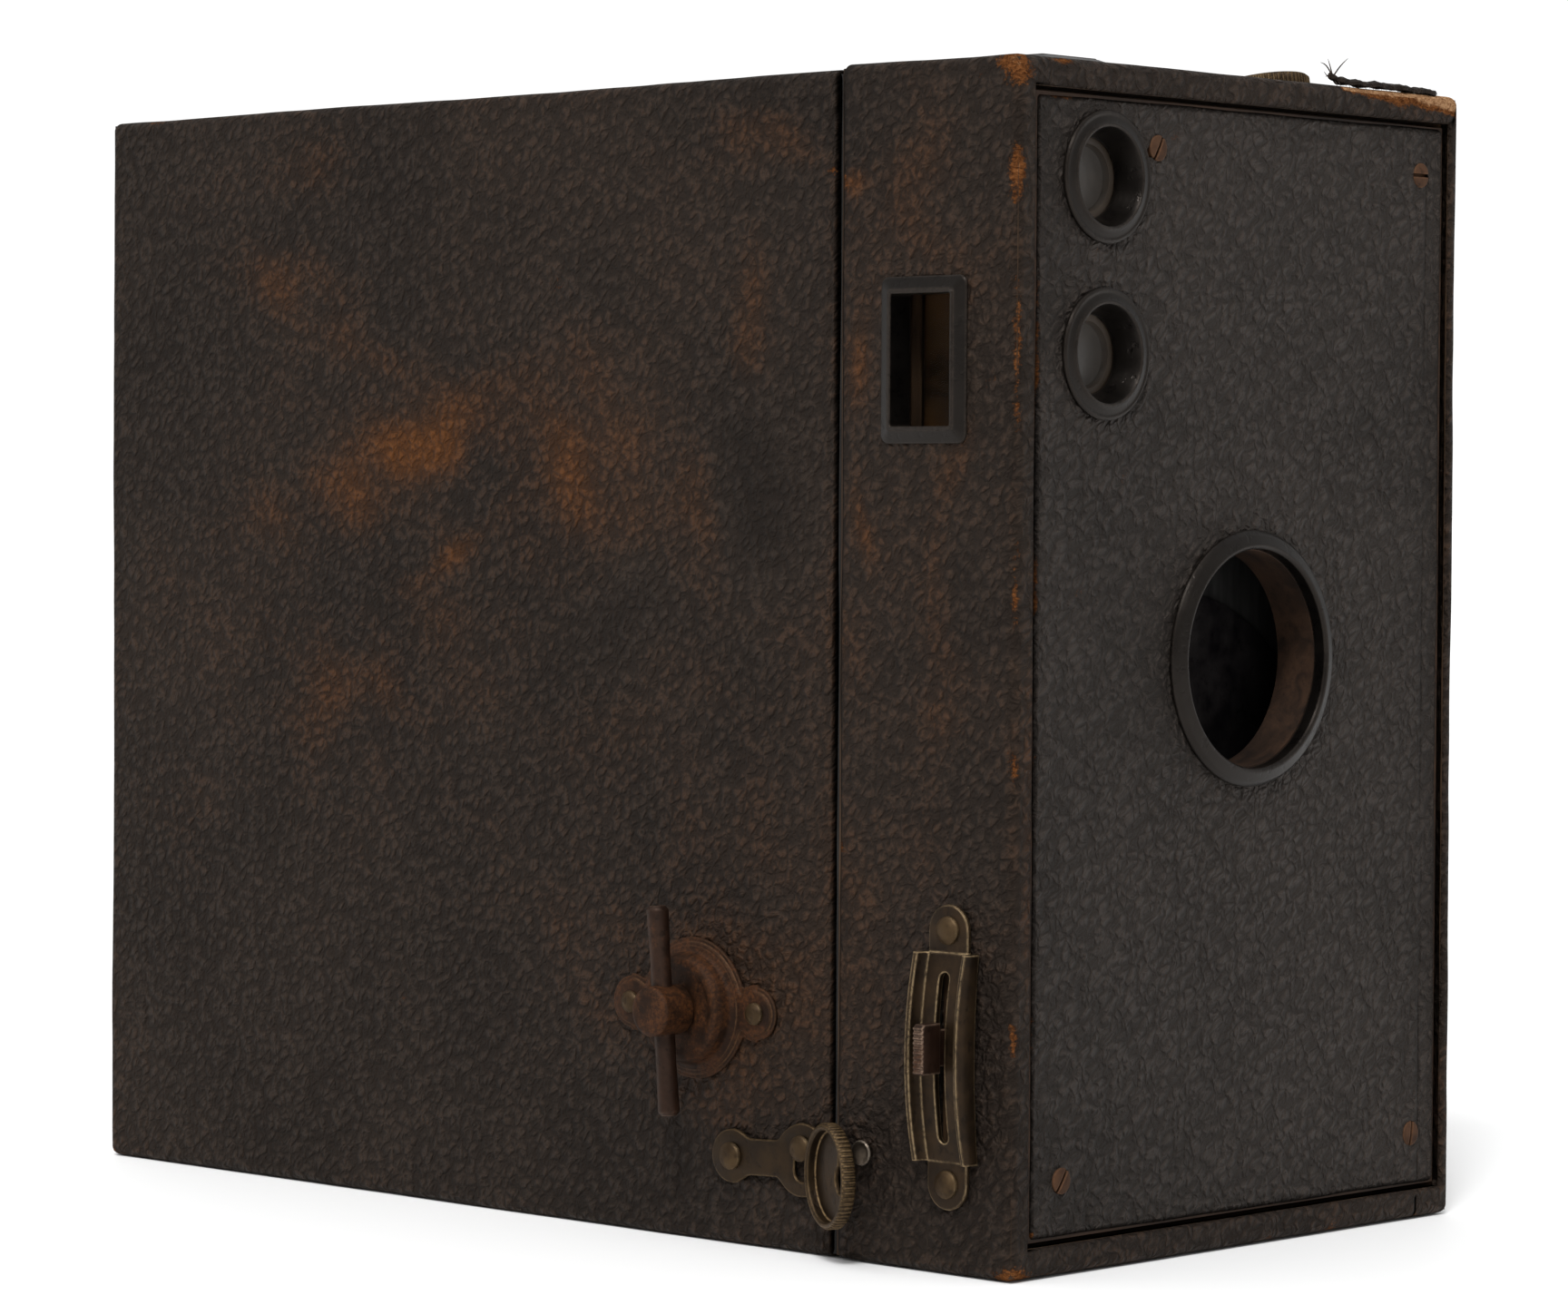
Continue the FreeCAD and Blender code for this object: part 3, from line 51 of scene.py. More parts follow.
FACINGS = {  # where a piece's own x, y and z axes point
    "down": ((1, 0, 0), (0, -1, 0), (0, 0, -1)),
    "front": ((1, 0, 0), (0, 0, 1), (0, -1, 0)),
    "back": ((-1, 0, 0), (0, 0, 1), (0, 1, 0)),
    "left": ((0, -1, 0), (0, 0, 1), (-1, 0, 0)),
    "right": ((0, 1, 0), (0, 0, 1), (1, 0, 0)),
    "top": ((0, -1, 0), (1, 0, 0), (0, 0, 1)),
}


def middle(node):
    low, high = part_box(node)
    return (low + high) / 2


def solids(node, gap=1.5 * MM):
    """The boxes of a node's separate solids, as (low, high) pairs in order of their lowest corners."""
    boxes = []
    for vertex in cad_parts[node].data.vertices:
        low, high = vertex.co.copy(), vertex.co.copy()
        apart = []
        for other_low, other_high in boxes:
            near = all(other_low[i] - gap <= high[i] and low[i] <= other_high[i] + gap for i in range(3))
            if near:
                low = Vector(map(min, low, other_low))
                high = Vector(map(max, high, other_high))
            else:
                apart.append((other_low, other_high))
        boxes = apart + [(low, high)]
    return sorted(boxes, key=lambda pair: tuple(round(value, 4) for value in pair[0]))


REAR_LOW, REAR_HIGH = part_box("rear_covering")
FRONT_LOW, FRONT_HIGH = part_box("front_covering")
PANEL_LOW, PANEL_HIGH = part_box("panel_covering")
KEY = middle("key_washer")
RED = middle("red_window_ring")
BASE_BUSH = middle("base_tripod_bush")
SIDE_BUSH = middle("side_tripod_bush")
LENS = middle("lens_bezel")
PLATE = middle("lever_plate")
FINDERS = {name: middle(f"{name}_finder_ring") for name in ("upper", "lower")}
SCREWS = [(low + high) / 2 for low, high in solids("panel_screws") if low.y < PANEL_LOW.y]


# ---------------------------------------------------------------- materials

class Value:
    """A value in a shader, whose arithmetic adds the maths nodes."""

    def __init__(self, tree, socket):
        self.tree, self.socket = tree, socket

    def __add__(self, other):
        return maths("ADD", self, other)

    def __radd__(self, other):
        return maths("ADD", other, self)

    def __sub__(self, other):
        return maths("SUBTRACT", self, other)

    def __rsub__(self, other):
        return maths("SUBTRACT", other, self)

    def __mul__(self, other):
        return maths("MULTIPLY", self, other)


def wire(value, socket):
    if isinstance(value, Value):
        value.tree.links.new(value.socket, socket)
    elif isinstance(value, tuple) and socket.type == "RGBA":
        socket.default_value = (*value, 1)
    else:
        socket.default_value = value


def add(tree, kind, out=0, inputs=(), **settings):
    """Adds a shader node, sets its properties, wires its inputs by name or number, and returns an output."""
    made = tree.nodes.new("ShaderNode" + kind)
    for name, value in settings.items():
        setattr(made, name, value)
    for key, value in dict(inputs).items():
        wire(value, made.inputs[key])
    return Value(tree, made.outputs[out])


def maths(operation, a, b):
    tree = (a if isinstance(a, Value) else b).tree
    return add(tree, "Math", inputs={0: a, 1: b}, operation=operation)


def blend(factor, a, b):
    return add(factor.tree, "Mix", 2, {0: factor, 6: a, 7: b}, data_type="RGBA")


def step(value, low, high):
    """Rises smoothly from 0 to 1 as value goes from low to high."""
    inputs = {"Value": value, "From Min": low, "From Max": high}
    return add(value.tree, "MapRange", 0, inputs, interpolation_type="SMOOTHSTEP")


def places(tree, stretch=(1, 1, 1), turn=(0, 0, 0)):
    """Places on the object, for a pattern drawn out by stretch along axes of its own, turned by turn."""
    inputs = {"Vector": add(tree, "TexCoord", "Object"), "Scale": stretch, "Rotation": turn}
    return add(tree, "Mapping", 0, inputs, vector_type="TEXTURE")


def speckle(where, size, detail, rough=0.6, warp=0.0):
    """Noise whose features are about size metres across."""
    inputs = {"Vector": where, "Scale": 1 / size, "Detail": detail, "Roughness": rough, "Distortion": warp}
    return add(where.tree, "TexNoise", 0, inputs)


def pebbles(where, size):
    """Cells that are high in the middle and low in the creases between them."""
    inputs = {"Vector": where, "Scale": 1 / size, "Smoothness": 0.55, "Randomness": 1.0}
    return add(where.tree, "TexVoronoi", 0, inputs, feature="SMOOTH_F1")


def furrows(where, size):
    """Zero along the narrow creases between cells and one elsewhere."""
    inputs = {"Vector": where, "Scale": 1 / size, "Randomness": 1.0}
    apart = add(where.tree, "TexVoronoi", "Distance", inputs, feature="DISTANCE_TO_EDGE")
    return step(apart, 0.0, 0.22)


def bump(height, depth, strength=1.0, **normal):
    inputs = {"Height": height, "Distance": depth, "Strength": strength, **normal}
    return add(height.tree, "Bump", 0, inputs)


def attribute(tree, name):
    return add(tree, "Attribute", "Fac", attribute_name=name)


def times(colour, share):
    return tuple(part * share for part in colour)


def new_material(name):
    """A material, its tree and plain places on the object."""
    material = bpy.data.materials.new(name)
    material.use_nodes = True
    return material, material.node_tree, places(material.node_tree)


def surfaced(material, inputs):
    """Wires the inputs of a material's surface by name."""
    shader = material.node_tree.nodes["Principled BSDF"]
    for name, value in inputs.items():
        wire(value, shader.inputs[name])
    return material


WARM = (1.0, 0.86, 0.76)
# Near black, for the covering's dark joints and for the painted shade inside its gaps and grooves.
JOINT_AND_SHADE_BLACK = (0.0012, 0.0010, 0.0009)
RUST = (0.012, 0.0040, 0.0013), (0.055, 0.0180, 0.0043)
FIBRE = (0.060, 0.020, 0.008), (0.30, 0.115, 0.038)
STRAW = (0.22, 0.085, 0.03), (0.62, 0.36, 0.19)


def leatherette(name, dark, light, brown, sheen, depth):
    """Black pebbled imitation leather that wears brown on its grain, and to orange fibre at torn edges."""
    material, tree, plain = new_material(name)
    scuff, bareness, crease = (attribute(tree, name) for name in ("scuff", "bare", "crease"))
    slanted = places(tree, (1, 1, 1.7), (math.radians(40), math.radians(40), 0))
    warp = speckle(plain, 3.2 * MM, 2) * (1.8 * MM)
    bent = add(tree, "VectorMath", 0, {0: slanted, 1: warp}, operation="ADD")
    cells = 1.0 - pebbles(bent, 1.05 * MM)
    lumps = speckle(bent, 1.0 * MM, 3, 0.62, 0.4)
    fine = speckle(plain, 0.42 * MM, 4, 0.7)
    broad = speckle(plain, 30 * MM, 4, 0.62)
    relief = cells * 0.7 + lumps * 0.9 + fine * 0.22 + (furrows(bent, 1.2 * MM) - 1.0) * 0.22
    tops = step(relief, 0.66, 1.12)

    # Lighter on the grain's tops and darker in its creases: partly painted shade for the relief, partly tone
    # that differs at random.
    tint = blend(tops * 0.6 + step(broad, 0.2, 0.8) * 0.4, dark, light)
    tint = blend(step(scuff, 0.0, -0.4) * 0.6, tint, times(dark, 0.7))
    rubbed = tops * 0.6 + step(fine, 0.3, 0.72) * 0.4
    worn = blend(rubbed, times(brown, 0.5), times(brown, 1.35))
    brown_at = step((broad - 0.5) * 0.5 + scuff + tops * 0.13, 0.085, 1.09)
    colour = blend(brown_at, tint, worn)
    specks = step(speckle(plain, 0.34 * MM, 2, 0.5), 0.74, 0.8)
    colour = blend(specks * 0.35, colour, (0.14, 0.105, 0.075))

    fibre = speckle(places(tree, (1, 1, 0.45)), 0.7 * MM, 5, 0.75, 0.8)
    edge = bareness + (fine - 0.5) * 1.3
    bare = step(edge, 0.42, 0.72)
    orange = blend(step(fibre, 0.32, 0.68), *FIBRE)
    orange = blend(step(edge, 0.95, 1.5), orange, blend(step(fibre, 0.3, 0.62), *STRAW))
    # The crease attribute marks dark joints and also the painted shade inside the joint between the box's
    # parts and around the front panel; there the colour goes near black and the sheen goes.
    overlay = step(crease, 0.15, 0.9)
    height = relief - bare * 0.9 + bare * fibre * 1.2 - crease * 1.3
    return surfaced(material, {
        "Base Color": blend(overlay, blend(bare, colour, orange), JOINT_AND_SHADE_BLACK),
        "Roughness": maths("MAXIMUM", 0.66 - tops * 0.16, bare * 0.95),
        "Specular IOR Level": (1.0 - bare) * (1.0 - overlay) * sheen,
        "Specular Tint": WARM,
        "Normal": bump(height, depth),
    })


def metal(name, bright, dull, metallic, rough, grain=1.2 * MM, rust=0.0, edge=1.0, tone=None, gloss=0.35):
    """Old metal: bright along its edges, partly rubbed bare and partly a painted highlight, dull and stained
    elsewhere, with spots of rust.
    """
    material, tree, plain = new_material(name)
    stain = speckle(plain, grain * 3, 5, 0.65)
    fine = speckle(plain, grain / 3, 4, 0.7)
    pits = step(speckle(plain, grain, 3, 0.6), 0.56, 0.7)
    rounded = add(tree, "Bevel", 0, {"Radius": 0.35 * MM}, samples=4)
    true = add(tree, "NewGeometry", "Normal")
    lean = add(tree, "VectorMath", "Value", {0: rounded, 1: true}, operation="DOT_PRODUCT")
    # Lighter along edges and ridges: partly metal rubbed bare, partly a painted highlight.
    rubbed = step(lean, 0.995, 0.86) * edge * step(fine, 0.25, 0.6)
    tone = tone or tuple((a + b) / 2 for a, b in zip(dull, bright))
    colour = blend(rubbed, blend(step(stain, 0.3, 0.72), dull, tone), bright)
    colour = blend(pits * 0.55, colour, times(dull, 0.35))
    if rust:
        rusty = step(stain + fine * 0.35, 0.95 - rust, 1.15 - rust)
        colour = blend(rusty, colour, blend(step(fine, 0.3, 0.7), *RUST))
        metallic = (1.0 - rusty) * metallic
    low, high = rough
    return surfaced(material, {
        "Base Color": colour,
        "Metallic": metallic,
        "Specular IOR Level": gloss,
        "Specular Tint": WARM,
        "Roughness": low + stain * (high - low),
        "Normal": bump(fine * 0.4 - pits, 0.05 * MM, 0.5, Normal=rounded),
    })


def timber(name, dark, light, stretch, rough=0.7):
    """Plain-sawn wood whose grain is drawn out by stretch."""
    material, tree, plain = new_material(name)
    long_way = places(tree, stretch)
    rings = speckle(long_way, 2.4 * MM, 5, 0.62, 0.5)
    pores = speckle(long_way, 0.35 * MM, 3, 0.7)
    colour = blend(step(rings, 0.3, 0.7), dark, light)
    colour = blend(step(pores, 0.55, 0.75) * 0.6, colour, times(dark, 0.4))
    colour = blend(step(speckle(plain, 14 * MM, 3), 0.45, 0.7) * 0.5, colour, times(dark, 0.5))
    return surfaced(material, {
        "Base Color": colour,
        "Roughness": rough,
        "Specular IOR Level": 0.2,
        "Normal": bump(rings + pores, 0.08 * MM, 0.5),
    })


def blackened(name, colour, rough):
    """Matt black card or painted board, brushed on thinly so that it shows streaks and dust."""
    material, tree, plain = new_material(name)
    streaks = speckle(places(tree, (1, 1, 7)), 1.2 * MM, 4, 0.6)
    dust = speckle(plain, 0.5 * MM, 4, 0.8)
    patch = speckle(plain, 18 * MM, 3, 0.5)
    tint = blend(step(streaks, 0.3, 0.7), colour, times(colour, 1.9))
    tint = blend(step(patch, 0.5, 0.75) * 0.5, tint, (0.045, 0.032, 0.022))
    tint = blend(step(dust, 0.66, 0.8) * 0.5, tint, (0.12, 0.105, 0.09))
    return surfaced(material, {
        "Base Color": tint,
        "Roughness": rough - streaks * 0.15,
        "Specular IOR Level": 0.12,
        "Normal": bump(streaks + dust, 0.05 * MM, 0.5),
    })


def old_glass(name, colour, rough, clear, dusty, reflection_colour=None):
    """Dusty old glass; the middle colour, a painted reflection of the bright surroundings, shows where the
    piece's "middle" attribute is one.
    """
    material, tree, plain = new_material(name)
    dust = speckle(plain, 0.5 * MM, 5, 0.75)
    cloud = speckle(plain, 6 * MM, 3, 0.5)
    overlay = step(cloud + dust * 0.5, 0.62, 1.0)
    base = blend(step(cloud, 0.35, 0.7), times(colour, 0.7), colour)
    if reflection_colour:
        painted_reflection = blend(step(dust, 0.3, 0.7), times(reflection_colour, 0.75), reflection_colour)
        base = blend(attribute(tree, "middle"), base, painted_reflection)
    dusted = tuple(min(1.0, part * 1.6 + 0.015) for part in colour)
    return surfaced(material, {
        "Base Color": blend(overlay * dusty, base, dusted),
        "Transmission Weight": clear,
        "Coat Weight": 0.12,
        "Coat Roughness": 0.08,
        "Roughness": rough + overlay * 0.35,
        "Normal": bump(dust, 0.01 * MM, 0.3),
    })


def clear_pane(name):
    """A dusty sheet of glass that is looked through."""
    material, tree, plain = new_material(name)
    dust = speckle(plain, 0.7 * MM, 5, 0.75)
    return surfaced(material, {
        "Base Color": (0.024, 0.017, 0.010),
        "Roughness": 0.12,
        "Alpha": 0.04 + step(dust, 0.5, 0.8) * 0.1,
        "Normal": bump(dust, 0.01 * MM, 0.3),
    })


def hide(name, dark, light):
    """Real leather with fine creases and a rubbed, darker middle, for the strap."""
    material, tree, plain = new_material(name)
    creases = pebbles(places(tree, (1, 2.2, 1)), 0.9 * MM)
    fine = speckle(plain, 0.3 * MM, 4, 0.7)
    wear = speckle(plain, 9 * MM, 4, 0.6)
    colour = blend(step(wear, 0.35, 0.7), dark, light)
    return surfaced(material, {
        "Base Color": blend(step(creases, 0.35, 0.8), colour, times(dark, 0.4)),
        "Roughness": 0.38 + wear * 0.3,
        "Specular IOR Level": 0.25,
        "Normal": bump(fine * 0.4 - creases, 0.1 * MM, 0.7),
    })


SIDE_LEATHER = leatherette("side_leatherette", (0.0078, 0.0053, 0.0040), (0.0285, 0.0197, 0.0145),
                           (0.088, 0.0300, 0.0065), 0.12, 1.05 * MM)
PANEL_LEATHER = leatherette("panel_leatherette", (0.0036, 0.0028, 0.0023), (0.0290, 0.0225, 0.0190),
                            (0.034, 0.0220, 0.015), 0.27, 2.0 * MM)
LACQUER = metal("black_lacquer", (0.120, 0.090, 0.070), (0.0018, 0.0015, 0.0014), 0.0, (0.20, 0.38),
                edge=0.3, tone=(0.0048, 0.0040, 0.0034), gloss=0.2)
SHUTTER_BLACK = metal("shutter_black", (0.03, 0.027, 0.026), (0.0024, 0.0020, 0.0030), 0.1, (0.4, 0.65),
                      edge=0.4, gloss=0.1)
TARNISHED = metal("tarnished_plate", (0.23, 0.150, 0.072), (0.009, 0.0051, 0.0024), 0.6, (0.36, 0.62),
                  rust=0.10, tone=(0.026, 0.0148, 0.0058))
PLATE_METAL = metal("lever_plate_metal", (0.55, 0.395, 0.22), (0.0090, 0.0053, 0.0027), 0.6, (0.36, 0.62),
                    rust=0.12, tone=(0.029, 0.0165, 0.0072), edge=0.85)
RUSTY = metal("rusty_steel", (0.10, 0.050, 0.023), (0.0095, 0.0038, 0.0018), 0.3, (0.5, 0.8),
              rust=0.36, edge=0.8, tone=(0.030, 0.0122, 0.0050), gloss=0.2)
KEY_METAL = metal("browned_steel", (0.30, 0.20, 0.14), (0.0110, 0.0050, 0.0031), 0.4, (0.34, 0.6), rust=0.22,
                  tone=(0.028, 0.0135, 0.0082), gloss=0.25)
RIVET_METAL = metal("worn_rivet", (0.40, 0.29, 0.16), (0.026, 0.0155, 0.0075), 0.7, (0.35, 0.6), rust=0.12,
                    tone=(0.068, 0.042, 0.019))
SCREW_METAL = metal("copper_brown_screw", (0.13, 0.065, 0.034), (0.020, 0.0088, 0.0052), 0.3, (0.5, 0.75),
                    rust=0.15, gloss=0.15)
NICKEL = metal("worn_nickel", (0.50, 0.42, 0.34), (0.045, 0.034, 0.025), 0.9, (0.25, 0.5), rust=0.06,
               tone=(0.13, 0.102, 0.076))
TIN = metal("spool_tin", (0.45, 0.43, 0.40), (0.03, 0.028, 0.027), 0.7, (0.3, 0.55), rust=0.15)
MIRROR = metal("aged_mirror", (0.05, 0.030, 0.012), (0.010, 0.0048, 0.0020), 0.0, (0.6, 0.8),
               grain=5 * MM, edge=0, tone=(0.075, 0.034, 0.011), gloss=0.05)
ALONG_X, ALONG_Z = (12, 1, 1), (1, 1, 12)
BORE_WOOD = timber("bore_wood", (0.011, 0.0058, 0.0034), (0.038, 0.019, 0.010), ALONG_X)
BOARD_WOOD = timber("box_board", (0.016, 0.008, 0.004), (0.055, 0.030, 0.014), ALONG_Z)
SPOOL_WOOD = timber("spool_wood", (0.22, 0.12, 0.055), (0.46, 0.30, 0.16), ALONG_X, 0.5)
BLACK_BOARD = blackened("blackened_board", (0.012, 0.0115, 0.011), 0.8)
BLACK_CARD = blackened("black_card", (0.016, 0.0155, 0.015), 0.72)
FINDER_GLASS = old_glass("finder_glass", (0.040, 0.027, 0.017), 0.45, 0.0, 0.35, (0.046, 0.039, 0.033))
LENS_GLASS = old_glass("lens_glass", (0.85, 0.87, 0.86), 0.02, 1.0, 0.1)
RED_GLASS = old_glass("red_glass", (0.15, 0.005, 0.003), 0.08, 0.1, 0.06)
PANE = clear_pane("window_pane")
STRAP_HIDE = hide("strap_hide", (0.016, 0.011, 0.008), (0.060, 0.034, 0.020))
THREAD = hide("waxed_thread", (0.10, 0.085, 0.06), (0.22, 0.19, 0.14))


# ---------------------------------------------------------------- shapes

def linked(thing):
    bpy.context.scene.collection.objects.link(thing)
    return thing


def piece_from(name, bm, smooth=40):
    """Turns a bmesh into an object with smooth faces and sharp edges."""
    mesh = bpy.data.meshes.new(name)
    bmesh.ops.recalc_face_normals(bm, faces=bm.faces)
    bm.to_mesh(mesh)
    bm.free()
    mesh.shade_smooth()
    mesh.set_sharp_from_angle(angle=math.radians(smooth))
    return linked(bpy.data.objects.new(name, mesh))


def baked(piece, angle=40):
    """Applies a piece's modifiers, or turns a curve into a closed mesh."""
    bpy.context.view_layer.update()
    graph = bpy.context.evaluated_depsgraph_get()
    mesh = bpy.data.meshes.new_from_object(piece.evaluated_get(graph))
    name = piece.name
    bpy.data.objects.remove(piece)
    bm = bmesh.new()
    bm.from_mesh(mesh)
    bmesh.ops.remove_doubles(bm, verts=bm.verts, dist=0.002 * MM)
    bpy.data.meshes.remove(mesh)
    return piece_from(name, bm, angle)


def moved(piece, matrix):
    piece.data.transform(matrix)
    return piece


def combine(piece, others, operation):
    """A boolean of a piece with others, which are used up."""
    for other in others:
        modifier = piece.modifiers.new(operation, "BOOLEAN")
        modifier.operation = operation
        modifier.solver = "EXACT"
        modifier.object = other
    made = baked(piece)
    for other in others:
        bpy.data.objects.remove(other)
    return made


def joined(name, pieces):
    """Loose solids kept together as one piece."""
    bm = bmesh.new()
    for piece in pieces:
        bm.from_mesh(piece.data)
        bpy.data.objects.remove(piece)
    return piece_from(name, bm)


def eased(corners, steps=5):
    """A closed path through (a, b) corners; a third number rounds that corner to its radius."""
    path = []
    for i, corner in enumerate(corners):
        point = Vector(corner[:2])
        if len(corner) < 3 or not corner[2]:
            path.append(point)
            continue
        radius = corner[2]
        before = (Vector(corners[i - 1][:2]) - point).normalized()
        after = (Vector(corners[(i + 1) % len(corners)][:2]) - point).normalized()
        half = math.acos(max(-1.0, min(1.0, before.dot(after)))) / 2
        reach = radius / math.tan(half)
        centre = point + (before + after).normalized() * (radius / math.sin(half))
        start, end = point + before * reach - centre, point + after * reach - centre
        turn = start.angle_signed(end) * -1
        for k in range(steps + 1):
            angle = turn * k / steps
            cosine, sine = math.cos(angle), math.sin(angle)
            across, along = start.x * cosine - start.y * sine, start.x * sine + start.y * cosine
            path.append(centre + Vector((across, along)))
    return path


def skin(bm, sections, closed):
    """Faces between neighbouring sections of equally many points; returns the sections' vertices."""
    rings = [[bm.verts.new(point) for point in section] for section in sections]
    for here, there in zip(rings, rings[1:] + rings[:closed]):
        for i in range(len(here)):
            j = (i + 1) % len(here)
            bm.faces.new((here[i], here[j], there[j], there[i]))
    return rings


def lathe(name, corners, segments, ripple=None):
    """Turns a closed (radius, height) outline, in millimetres, about z.

    ripple(angle, radius, height) adds to the radius.
    """
    path = eased(corners)
    sections = []
    for k in range(segments):
        angle = 2 * math.pi * k / segments
        section = []
        for radius, height in path:
            wide = radius + (ripple(angle, radius, height) if ripple else 0.0)
            section.append((wide * math.cos(angle) * MM, wide * math.sin(angle) * MM, height * MM))
        sections.append(section)
    bm = bmesh.new()
    skin(bm, sections, True)
    bmesh.ops.remove_doubles(bm, verts=bm.verts, dist=0.001 * MM)
    bmesh.ops.dissolve_degenerate(bm, edges=bm.edges, dist=0.0005 * MM)
    return piece_from(name, bm)


def loft(name, sections):
    """A closed skin through closed sections in metres, with flat ends."""
    bm = bmesh.new()
    rings = skin(bm, sections, False)
    bm.faces.new(rings[0][::-1])
    bm.faces.new(rings[-1])
    return piece_from(name, bm)


def from_curve(name, outlines, closed, **settings):
    """A mesh from a curve with these settings; outlines hold (x, y, z, share of thickness), in metres."""
    curve = bpy.data.curves.new(name, "CURVE")
    for setting, value in settings.items():
        setattr(curve, setting, value)
    for outline in outlines:
        spline = curve.splines.new("POLY")
        spline.points.add(len(outline) - 1)
        for point, (x, y, z, share) in zip(spline.points, outline):
            point.co, point.radius = (x, y, z, 1), share
        spline.use_cyclic_u = closed
    return baked(linked(bpy.data.objects.new(name, curve)))


def flat(name, outlines, thickness, edge):
    """A plate on z = 0 with softened edges, from its rim's outline and its holes', in millimetres."""
    paths = [[(x * MM, y * MM, 0, 1) for x, y in outline] for outline in outlines]
    half = (thickness / 2 - edge) * MM
    piece = from_curve(name, paths, True, dimensions="2D", fill_mode="BOTH", extrude=half,
                       bevel_depth=edge * MM, bevel_resolution=2, offset=-edge * MM)
    return moved(piece, Matrix.Translation((0, 0, thickness / 2 * MM)))


def tube(name, points, radius, shares, sides):
    """A wire through points in metres; shares gives each point's share of the radius."""
    path = [(*point, share) for point, share in zip(points, shares)]
    return from_curve(name, [path], False, dimensions="3D", bevel_depth=radius, bevel_resolution=sides,
                      use_fill_caps=True)


def circle(radius, x=0.0, y=0.0, count=48, start=0.0, sweep=360.0):
    last = count if abs(sweep) >= 360 else count - 1
    angles = [math.radians(start + sweep * k / last) for k in range(count)]
    return [(x + radius * math.cos(a), y + radius * math.sin(a)) for a in angles]


def slot_outline(length, width, count=10):
    """A round-ended slot along y, about the origin."""
    reach = (length - width) / 2
    return circle(width / 2, 0, reach, count, 0, 180) + circle(width / 2, 0, -reach, count, 180, 180)


def arc_slot(radius, half, start, sweep, count=14):
    """A round-ended slot that follows an arc about the origin."""
    end = start + sweep
    first, last = circle(radius, 0, 0, 2, start, sweep)
    outer = circle(radius + half, 0, 0, count, start, sweep)
    inner = circle(radius - half, 0, 0, count, end, -sweep)
    far_end = circle(half, *last, 8, end, 180)[1:-1]
    near_end = circle(half, *first, 8, start + 180, 180)[1:-1]
    return outer + far_end + inner + near_end


def box_outline(x0, x1, y0, y1):
    return (x0, y0), (x1, y0), (x1, y1), (x0, y1)


def show(piece, body, material, *nodes):
    """Gives a piece its material, its body and the CAD nodes that it stands for."""
    piece.data.materials.clear()
    piece.data.materials.append(material)
    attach(piece, body)
    if nodes:
        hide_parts(*nodes)


def keep(material, *nodes):
    """CAD nodes whose own shape stays, with a better material."""
    for name in nodes:
        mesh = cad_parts[name].data
        mesh.materials.clear()
        mesh.materials.append(material)


def stand(facing, point, turn=0.0):
    """The matrix that puts a piece's own origin at a point, facing a side, turned about its own z axis."""
    axes = Matrix(FACINGS[facing]).transposed().to_4x4()
    return Matrix.Translation(point) @ axes @ Matrix.Rotation(math.radians(turn), 4, "Z")


def fit(piece, facing, point, body, material, *nodes):
    """Stands a piece at a point and shows it."""
    show(moved(piece, stand(facing, point)), body, material, *nodes)


# ---------------------------------------------------------------- covered boxes

def grid_lines(low, high, round_low, round_high, spacing, extra):
    """Grid lines that crowd into the rounded edges and fall on every extra place."""
    bend = (0.0, 0.3, 0.6, 0.85)
    flat_low, flat_high = low + round_low, high - round_high
    count = max(1, round((flat_high - flat_low) / spacing))
    even = [flat_low + (flat_high - flat_low) * k / count for k in range(count + 1)]
    lines = [low + round_low * t for t in bend] if round_low else []
    lines += [high - round_high * t for t in bend] if round_high else []
    lines += [value for value in even if all(abs(value - other) > 0.3 * spacing for other in extra)]
    return sorted(lines + [value for value in extra if low < value < high])


def settle(point, normal):
    """The small unevenness of an old wooden box under its covering."""
    slow = noise.noise(point * 38) * 0.16 * MM
    quick = noise.noise(point * 160 + Vector((7, 3, 5))) * 0.06 * MM
    return point + normal * (slow + quick - 0.1 * MM)


def covered_box(low, high, rounds, skip, extra):
    """The covering of a box as a bmesh, with roundings and extra grid lines for each axis.

    skip(side, point) says which faces are left out.
    """
    bm = bmesh.new()
    lines = [grid_lines(low[i], high[i], *rounds[i], 1.0 * MM, extra[i]) for i in range(3)]
    made = {}

    def corner(index):
        if index not in made:
            point = Vector(lines[i][index[i]] for i in range(3))
            inner, lean = point.copy(), Vector((0, 0, 0))
            for i in range(3):
                round_low, round_high = rounds[i]
                inner[i] = min(max(point[i], low[i] + round_low), high[i] - round_high)
                reach = round_low if point[i] < inner[i] else round_high
                lean[i] = (point[i] - inner[i]) / reach if point[i] != inner[i] else 0.0
            lean.normalize()
            for i in range(3):
                inner[i] += lean[i] * rounds[i][lean[i] >= 0]
            made[index] = bm.verts.new(settle(inner, lean))
        return made[index]

    for axis, end in itertools.product(range(3), (0, 1)):
        a, b = (i for i in range(3) if i != axis)
        level = end * (len(lines[axis]) - 1)
        for i, j in itertools.product(range(len(lines[a]) - 1), range(len(lines[b]) - 1)):
            centre = Vector((0, 0, 0))
            centre[axis] = lines[axis][level]
            centre[a] = (lines[a][i] + lines[a][i + 1]) / 2
            centre[b] = (lines[b][j] + lines[b][j + 1]) / 2
            if skip((axis, end), centre):
                continue
            quad = []
            for across, along in box_outline(i, i + 1, j, j + 1):
                index = [0, 0, 0]
                index[axis], index[a], index[b] = level, across, along
                quad.append(corner(tuple(index)))
            bm.faces.new(quad)
    return bm


